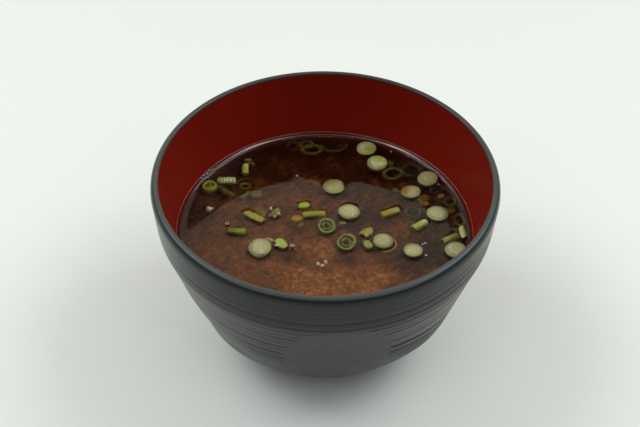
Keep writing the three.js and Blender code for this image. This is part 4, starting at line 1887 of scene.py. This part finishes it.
@dataclass
class Scallion:
    """Every floating piece of scallion, each in the place of its frame node."""

    slices: tuple[Slice, ...] = (
        Slice("white_slice_01", 7.4, 4, 250, 0.96, green=0.95, green_at=-50, soak=0.38),
        Slice("white_slice_02", 7.5, 6, 240, 1.0, green=0.8, green_at=80),
        Slice("white_slice_03", 7.8, 3, 120, 1.03, green=0.9, green_at=130, soak=0.66),
        Slice("white_slice_04", 7.7, 2, 300, 0.96, green=0.2, green_at=200, soak=0.38),
        Slice(
            "white_slice_05", 7.4, 4, 200, 1.04, green=0.3, green_at=220, amber=0.2, amber_at=20, soak=0.48
        ),
        Slice("white_slice_06", 7.0, 7, 170, 1.0, amber=1.0, amber_at=185, soak=0.48),
        Slice("white_slice_07", 7.6, 3, 30, 1.03, amber=0.1, amber_at=200),
        Slice("white_slice_08", 7.9, 2, 220, 1.12, green=0.25, green_at=20, soak=0.4),
        Slice("white_slice_09", 7.0, 5, 310, 1.0, green=0.25, green_at=200, soak=0.48),
        Slice("white_slice_10", 6.7, 2, 90, 1.02, soak=0.34),
        Slice("white_slice_11", 7.4, 5, 180, 1.0, green=0.35, green_at=70, soak=0.18),
    )
    rings: tuple[Ring, ...] = (
        Ring(5.4, 1.08, 60, 1.3, tone=0.48, glint_and_pale=0.4, folds=2),
        Ring(6.2, 1.28, 95, 0.95, tone=0.36, glint_and_pale=0.3, folds=3),
        Ring(6.6, 1.26, 80, 0.95, tone=0.35, glint_and_pale=0.25, folds=3),
    )
    stalks: tuple[Stalk, ...] = (
        Stalk(6.6, 2.9, 2, (0.97, 0.95), ripple=0.09, glint_and_pale=(1.0, 0.6)),
        Stalk(5.2, 2.3, 92, (1.0, 0.97), ripple=0.03, glint_and_pale=(0.4, 0.8)),
        Stalk(6.4, 3.0, -5, (0.25, 0.38), ripple=0.02),
        Stalk(8.2, 2.8, 6, (0.38, 0.58), ripple=0.06, bend=-0.3),
        Stalk(7.0, 3.1, 26, (0.57, 0.47), glint_and_pale=(0.3, 0.8)),
        Stalk(5.9, 3.0, 37, (0.97, 0.93), ripple=0.04, glint_and_pale=(0.7, 0.85)),
        Stalk(6.2, 2.7, 31, (0.42, 0.53), ripple=0.02, glint_and_pale=(0.5, 0.3)),
    )
    curls: tuple[Curl, ...] = (
        Curl(7.8, 1.9, 150, -34, (0.53, 0.57), glint_and_pale=0.1),
        Curl(4.4, 2.0, 110, 64, (0.16, 0.24), glint_and_pale=0.9),
        Curl(4.2, 2.3, 140, 48, (0.50, 0.46), glint_and_pale=0.9),
        Curl(5.4, 1.5, 150, 98, (0.95, 0.96), glint_and_pale=0.6),
    )
    nubs: tuple[Nub, ...] = (
        Nub(4.4, 3.0, 20, (1.0, 1.0)),
        Nub(5.4, 3.7, -58, (1.0, 0.98), glint_and_pale=0.35),
        Nub(4.4, 3.1, -62, (0.42, 0.44), glint_and_pale=0.3),
    )

    def floats(self) -> list[Float]:
        """Footprints of all the pieces, for the liquid to rise round.

        Returns:
            One for each piece.
        """
        found = []
        for each in self.slices:
            x, y, _ = middle_of(each.node)
            found.append(Float(x, y, each.across / 2 - 0.1, lift=0.3))
        for number, each in enumerate(self.rings, start=1):
            x, y, _ = middle_of(f"green_ring_{number:02d}")
            beyond = each.across * (each.oval - 1) / 2
            found.append(Float(x, y, each.across / 2, beyond, each.turn, lift=0.25))
        for kind, rows in (("stalk", self.stalks), ("curl", self.curls), ("nub", self.nubs)):
            for number, each in enumerate(rows, start=1):
                x, y, _ = middle_of(f"{kind}_{number:02d}")
                wide = 0.8 * (each.radius if kind == "curl" else each.across / 2)
                found.append(Float(x, y, wide, each.length / 2 - wide, each.heading, lift=0.3))
        return found

    def build(self) -> None:
        """Makes each piece over its own node."""
        white = [WhiteFinish().material()]
        leaf = [LeafFinish("scallion_green").material()]
        pale = [LeafFinish("scallion_pale").material()]
        for seed, each in enumerate(self.slices):
            skin = each.skin(middle_of(each.node), 100 + seed)
            settle(f"{each.node}_cut", skin, white, [each.node])
        for kind, rows, seed, finish, slot in (
            ("green_ring", self.rings, 200, leaf, Slot.GREEN),
            ("stalk", self.stalks, 300, leaf, Slot.GREEN),
            ("curl", self.curls, 400, pale, Slot.PALE),
            ("nub", self.nubs, 500, leaf, Slot.GREEN),
        ):
            for number, each in enumerate(rows, start=1):
                node = f"{kind}_{number:02d}"
                spot = middle_of(node)
                if kind == "curl":
                    spot[2] = top_of(node)
                make = each.folded if kind == "green_ring" else each.skin
                settle(f"{node}_leaf", make(spot, seed + number), finish, [node])


# ---- sunk and small things ----


@dataclass(frozen=True)
class Spot:
    """Where a small thing lies: its place, its top's depth under the level, and its tips in degrees."""

    x: float
    y: float
    depth: float
    pitch: float = 0.0
    roll: float = 0.0

    def middle(self, level: float, thickness: float) -> np.ndarray:
        """Middle of a thing of that thickness."""
        return np.array([self.x, self.y, level - self.depth - thickness / 2])


@dataclass
class Sunken:
    """Scallion that hangs wholly in the broth: rings and arcs, short sticks and soft lumps."""

    soup: Soup
    # Colour of the painted glints on the sunk pieces
    glint_and_pale: Colour = (0.40, 0.34, 0.13, 1.0)
    rings: tuple[tuple[Ring, Spot], ...] = (
        (Ring(6.3, 1.40, 4, 1.3, tone=0.40, thickness=1.7), Spot(-5.3, 43.2, 0.55, 3)),
        (Ring(5.0, 1.20, 10, 1.2, tone=0.42, thickness=1.7), Spot(-7.4, 46.2, 0.7, 6)),
        (Ring(5.2, 1.00, -20, 1.0, tone=0.36, shown=0.62, thickness=1.5), Spot(-12.4, 45.7, 0.8, -5)),
        (Ring(9.6, 1.10, 182, 0.9, tone=0.34, shown=0.52, thickness=1.5), Spot(3.0, 47.0, 0.9, 3)),
        (Ring(7.2, 1.18, 20, 1.6, tone=0.33, thickness=1.9), Spot(24.4, 30.4, 0.5, -4)),
        (Ring(7.2, 1.10, 60, 1.0, tone=0.22, thickness=1.5), Spot(31.5, 32.7, 1.1, 4)),
        (Ring(6.0, 1.00, 5, 1.0, tone=0.26, shown=0.62, thickness=1.5), Spot(40.0, 21.8, 0.7, 5)),
        (Ring(5.0, 1.05, 40, 1.1, tone=0.33, thickness=1.5), Spot(44.2, 15.8, 0.8, -6)),
        (Ring(5.6, 1.05, 0, 0.7, tone=0.36, glint_and_pale=0.4, thickness=1.4), Spot(30.8, 9.8, 0.45, 3)),
        (Ring(4.2, 1.65, 92, 0.8, tone=0.5, glint_and_pale=0.3, thickness=1.4), Spot(47.0, 6.1, 0.5)),
        (Ring(4.0, 1.15, 15, 1.0, tone=0.52, glint_and_pale=0.3, thickness=1.6), Spot(-28.7, 22.1, 0.5, 5)),
        (Ring(7.6, 1.10, 12, 0.6, tone=0.30, shown=0.45, thickness=1.2), Spot(-28.2, 22.6, 0.6, 4)),
        (Ring(3.6, 1.00, -10, 0.9, tone=0.85, shown=0.5, thickness=1.4), Spot(-27.6, 33.4, 0.2, -8)),
        (Ring(8.4, 1.00, -105, 0.5, tone=0.95, glint_and_pale=0.3, shown=0.42, thickness=0.8), Spot(20.4, -6.2, 0.25)),
        (Ring(4.4, 1.10, 200, 0.9, tone=0.62, shown=0.6, thickness=1.3), Spot(43.4, 11.6, 0.9)),
        (Ring(5.0, 1.00, 100, 0.9, tone=0.5, shown=0.45, thickness=1.3), Spot(-41.6, 21.6, 0.3)),
    )
    sticks: tuple[tuple[Stalk, Spot], ...] = (
        (Stalk(6.2, 2.5, -40, (0.48, 0.52), ripple=0.03), Spot(-34.7, 18.4, 0.35)),
        (Stalk(4.8, 2.1, 57, (0.52, 0.5), ripple=0.03), Spot(-28.3, 17.4, 0.35)),
        (Stalk(3.4, 1.7, 20, (0.55, 0.6), ripple=0.04), Spot(-38.6, 21.2, 0.5)),
    )
    lumps: tuple[tuple[Nub, Spot], ...] = (
        (Nub(4.4, 3.9, 20, (0.52, 0.55), thickness=1.3), Spot(-24.5, 18.0, 0.35)),
        (Nub(5.6, 4.6, 70, (0.55, 0.62), thickness=1.4), Spot(-22.6, 8.2, 0.55)),
        (Nub(4.3, 3.2, 15, (0.78, 0.76), thickness=1.4), Spot(-9.7, 5.4, -0.1)),
        (Nub(2.7, 1.6, 40, (0.5, 0.7), thickness=1.1), Spot(-8.4, 2.1, 0.3)),
        (Nub(4.2, 1.6, -25, (0.9, 0.78), glint_and_pale=0.5, thickness=1.0), Spot(-18.4, -5.6, -0.15)),
        (Nub(2.4, 1.3, -60, (0.9, 0.72), thickness=0.9), Spot(-18.6, -7.4, 0.1)),
        (Nub(2.7, 1.9, 25, (0.8, 0.78), thickness=1.2), Spot(41.2, 18.2, 0.1)),
        (Nub(4.8, 3.8, 10, (0.60, 0.64), thickness=1.5), Spot(34.6, 17.6, 0.8)),
        (Nub(3.6, 2.6, 0, (0.66, 0.74), thickness=1.4), Spot(35.2, 14.5, 0.6)),
        (Nub(2.5, 1.5, 5, (0.78, 0.82), thickness=1.0), Spot(6.2, 3.5, 0.2)),
        (Nub(3.4, 2.2, -62, (0.42, 0.55), thickness=1.3), Spot(23.6, 35.9, 0.45)),
        (Nub(2.9, 2.1, -25, (0.28, 0.42), glint_and_pale=0.6, thickness=1.4), Spot(25.2, 20.9, -0.15)),
        (Nub(3.4, 2.6, 80, (0.62, 0.7), thickness=1.3), Spot(43.8, 11.4, 1.2)),
        (Nub(2.8, 1.3, 5, (0.94, 0.98), glint_and_pale=0.8, thickness=0.9), Spot(-28.6, 36.6, 0.5)),
    )

    def build(self) -> None:
        """Makes one piece for each kind."""
        level = self.soup.level
        # Sunk pieces take the leaf's colours darkened as painted shade
        leaf = [LeafFinish("sunk_scallion_shaded", SUNK_SHADED_STOPS, self.glint_and_pale).material()]
        rings = [
            ring.skin(spot.middle(level, ring.thickness), 600 + number, spot.pitch, spot.roll)
            for number, (ring, spot) in enumerate(self.rings)
        ]
        sticks = [
            stick.skin(spot.middle(level, stick.across), 700 + number, spot.pitch)
            for number, (stick, spot) in enumerate(self.sticks)
        ]
        lumps = [
            lump.skin(spot.middle(level, lump.thickness), 800 + number)
            for number, (lump, spot) in enumerate(self.lumps)
        ]
        for name, skins in (("sunk_rings", rings), ("sunk_sticks", sticks), ("sunk_lumps", lumps)):
            settle(name, joined(skins), leaf)


@dataclass
class Scraps:
    """Pale crumbs, each as [x, y, radius], and the soup's clear bubbles, on the surface."""

    soup: Soup
    crumbs: tuple[Triple, ...] = (
        (-40.6, 8.3, 1.0), (-40.0, 8.9, 0.7), (-2.1, -17.2, 0.78), (-0.6, -18.1, 0.62), (0.5, -16.4, 0.68),
        (34.2, -6.5, 0.38), (33.3, -7.1, 0.3), (34.2, -12.2, 0.34),
        (-18.9, 9.4, 0.5), (-16.1, 6.8, 0.6),
    )
    film: float = 0.05
    # Width and colours of the painted highlight rims round the bubbles
    bubble_highlight_width: float = 0.18
    bubble_highlight_pale: Colour = (0.72, 0.70, 0.66, 1.0)
    bubble_highlight_dim: Colour = (0.34, 0.27, 0.22, 1.0)
    knob_height: float = 0.22
    knob_length: float = 1.9
    crumb_stretch: Point = (0.75, 1.3)
    crumb_rise: float = 0.35
    bubble_rise: float = 0.15
    # Reach and height of the painted highlight rims, as shares of the bubble's radius
    bubble_highlight_share: float = 0.72
    bubble_highlight_rise: float = 0.85
    ball_end: float = 88.0
    seed: int = 71

    def ball(self, radius: float, rows: int, sides: int) -> np.ndarray:
        """Loops of a ball round the origin, from just above its lower pole to just below its upper."""
        return spun(arc((0.0, 0.0), radius, -self.ball_end, self.ball_end, rows), sides)[0]

    def lump(self, x: float, y: float, radius: float, seed: int) -> Skin:
        """A knobbly crumb: a ball whose radius rolls with its direction, half sunk in the surface.

        Args:
            x: Its place along X.
            y: Its place along Y.
            radius: Its mean radius.
            seed: Seed of its knobs and its stretch.

        Returns:
            The surface, in place.
        """
        sections = self.ball(1.0, 14, 22)
        roll = billow(sections[..., 0] + sections[..., 2], sections[..., 1], seed, self.knob_length)
        knobs = 1 + self.knob_height * roll
        stretch = np.random.default_rng(seed).uniform(*self.crumb_stretch, 3)
        spot = np.array([x, y, self.soup.surface_at(x, y) + self.crumb_rise * radius])
        return loft(sections * knobs[..., None] * stretch * radius).placed(spot, 40.0 * seed, 20.0)

    def bubble(self, x: float, y: float, radius: float) -> Skin:
        """A film round air: a ball, and inside it a smaller one with its faces turned to the air.

        Args:
            x: Its place along X.
            y: Its place along Y.
            radius: Its radius.

        Returns:
            The surface, in place.
        """
        outer, hollow = (loft(self.ball(reach, 16, 28)) for reach in (radius, radius - self.film))
        hollow.quads, hollow.triangles = hollow.quads[:, ::-1], hollow.triangles[:, ::-1]
        height = self.soup.surface_at(x, y) + self.bubble_rise * radius
        return joined([outer, hollow]).placed(np.array([x, y, height]))

    def rim(self, x: float, y: float, radius: float) -> Skin:
        """Painted highlight round the top of a bubble: a small pale circle carried round the bubble's axis.

        Args:
            x: The bubble's place along X.
            y: The bubble's place along Y.
            radius: The bubble's radius.

        Returns:
            The surface, in place.
        """
        around = np.arange(8) * TURN / 8
        girth = self.bubble_highlight_width / 2 * np.stack([np.cos(around), np.sin(around)], axis=1)
        sections, _ = spun(girth + np.array([self.bubble_highlight_share * radius, 0.0]), 26)
        height = self.soup.surface_at(x, y) + self.bubble_highlight_rise * radius
        return loft(sections, ring=True).placed(np.array([x, y, height]))

    def build(self) -> None:
        """Makes all crumbs one piece, all bubbles another and the painted highlight rims round them a third.
        """
        crumbs = [self.lump(*row, self.seed + number) for number, row in enumerate(self.crumbs)]
        settle("crumbs", joined(crumbs), [CrumbFinish("bean_crumb").material()])
        bubbles = [self.bubble(*row) for row in self.soup.bubbles]
        settle("bubbles", joined(bubbles), [FilmFinish().material()])
        # Painted highlight rims round the bubbles
        highlight_rims = [self.rim(*row) for row in self.soup.bubbles]
        highlight_finish = CrumbFinish("bubble_highlight", self.bubble_highlight_pale, self.bubble_highlight_dim)
        settle("bubble_highlight_rims", joined(highlight_rims), [highlight_finish.material()])


# ---- studio ----


@dataclass(frozen=True)
class Lamp:
    """A square lamp and its mirror image on the other side: size, place, watts and colour."""

    size: float
    spot: Triple
    watts: float
    colour: Triple = (0.965, 1.0, 0.985)

    def build(self) -> None:
        """Hangs both, turned towards the bowl."""
        for side in (-1, 1):
            data = bpy.data.lights.new("lamp", "AREA")
            data.size = self.size * MM
            data.energy = self.watts
            data.color = self.colour
            lamp = bpy.data.objects.new("lamp", data)
            spot = Vector((side * self.spot[0], self.spot[1], self.spot[2])) * MM
            lamp.location = spot
            lamp.rotation_euler = spot.to_track_quat("Z", "Y").to_euler()
            lamp.visible_camera = False
            bpy.context.scene.collection.objects.link(lamp)


@dataclass(frozen=True)
class Studio:
    """Plain pale table, two pairs of lamps, and a room.

    The room is dim above, with a pale wall behind, grey sides, and a dark front with one narrow
    bright strip high up. Pairs of depth, height or width say where each part of it eases in.
    """

    table_size: float = 6000.0
    above: float = 0.155
    facing: float = 2.3
    behind: float = 0.98
    beside: float = 0.12
    dark: float = 0.04
    air: Colour = (0.955, 1.0, 0.99, 1.0)
    warm_air: Colour = (1.0, 0.96, 0.80, 1.0)
    back_depth: Point = (0.15, 0.45)
    back_top: Point = (0.82, 0.74)
    side_width: Point = (0.45, 0.8)
    front_depth: Point = (-0.05, -0.5)
    front_top: Point = (0.62, 0.5)
    strip_depth: Point = (-0.08, -0.16)
    strip_foot: Point = (0.94, 0.955)
    strip_top: Point = (0.99, 0.98)
    strip_width: Point = (0.5, 0.3)
    lamps: tuple[Lamp, ...] = (
        Lamp(520.0, (560.0, 180.0, 700.0), 3.5),
        Lamp(620.0, (500.0, -372.0, 652.0), 1.25),
    )

    def build_table(self) -> None:
        """Makes the table top, a flat square."""
        half = self.table_size / 2 * MM
        corners = [(-half, -half, 0), (half, -half, 0), (half, half, 0), (-half, half, 0)]
        mesh = bpy.data.meshes.new("table_top")
        mesh.from_pydata(corners, [], [(0, 1, 2, 3)])
        mesh.materials.append(TableFinish().material())
        table = bpy.data.objects.new("table_top", mesh)
        bpy.context.scene.collection.objects.link(table)

    def build_room(self) -> None:
        """Makes the world: each part's brightness is blended over what is there before it."""
        world = bpy.data.worlds.new("studio")
        bpy.context.scene.world = world
        recipe = Recipe(world)
        towards = recipe.node("ShaderNodeTexCoord", output="Generated")
        parts = recipe.node("ShaderNodeSeparateXYZ", NOTHING, {0: towards})
        aside, depth, up = (Shade(recipe, output) for output in parts.socket.node.outputs)
        spread = recipe.math("ABSOLUTE", aside)
        back = depth.eased(*self.back_depth) * up.eased(*self.back_top)
        side = spread.eased(*self.side_width)
        front = depth.eased(*self.front_depth) * up.eased(*self.front_top)
        facing = depth.eased(*self.strip_depth) * up.eased(*self.strip_foot)
        facing = facing * up.eased(*self.strip_top) * spread.eased(*self.strip_width)
        glow = self.above + (self.behind - self.above) * back
        glow = glow + (self.beside - glow) * side
        glow = glow + (self.dark - glow) * front
        glow = glow + (self.facing - glow) * facing
        inputs = {"Color": recipe.blend(back, self.air, self.warm_air), "Strength": glow}
        shown = recipe.node("ShaderNodeBackground", NOTHING, inputs)
        recipe.node("ShaderNodeOutputWorld", NOTHING, {"Surface": shown}, None)

    def build(self) -> None:
        """Makes the table, the room and the lamps, and shows colours as they are."""
        self.build_table()
        self.build_room()
        for lamp in self.lamps:
            lamp.build()
        bpy.context.scene.view_settings.view_transform = "Standard"
        LOG.info("studio ready")


@dataclass(frozen=True)
class Viewpoint:
    """Where the camera stands, how it is turned, and its lens."""

    spot: Triple = (0.0, -285.47, 318.29)
    tilt: float = 46.937
    lean: float = -0.524
    turn: float = 0.826
    lens: float = 64.69
    sensor: float = 36.0
    clip: Point = (0.01, 20.0)

    def build(self) -> None:
        """Makes the scene's camera."""
        data = bpy.data.cameras.new("view")
        data.lens = self.lens
        data.sensor_width = self.sensor
        data.clip_start, data.clip_end = self.clip
        camera = bpy.data.objects.new("view", data)
        camera.location = tuple(each * MM for each in self.spot)
        camera.rotation_euler = tuple(math.radians(each) for each in (self.tilt, self.lean, self.turn))
        bpy.context.scene.collection.objects.link(camera)
        bpy.context.scene.camera = camera
        LOG.info("camera ready")


def main() -> None:
    """Builds everything in order."""
    logging.basicConfig(level=logging.INFO, format="%(name)s: %(message)s")
    Viewpoint().build()
    Studio().build()
    bowl = Bowl()
    bowl.build()
    scallion = Scallion()
    scallion.build()
    soup = Soup(bowl, scallion.floats())
    soup.build()
    Sunken(soup).build()
    Scraps(soup).build()


if __name__ == "__main__":
    main()
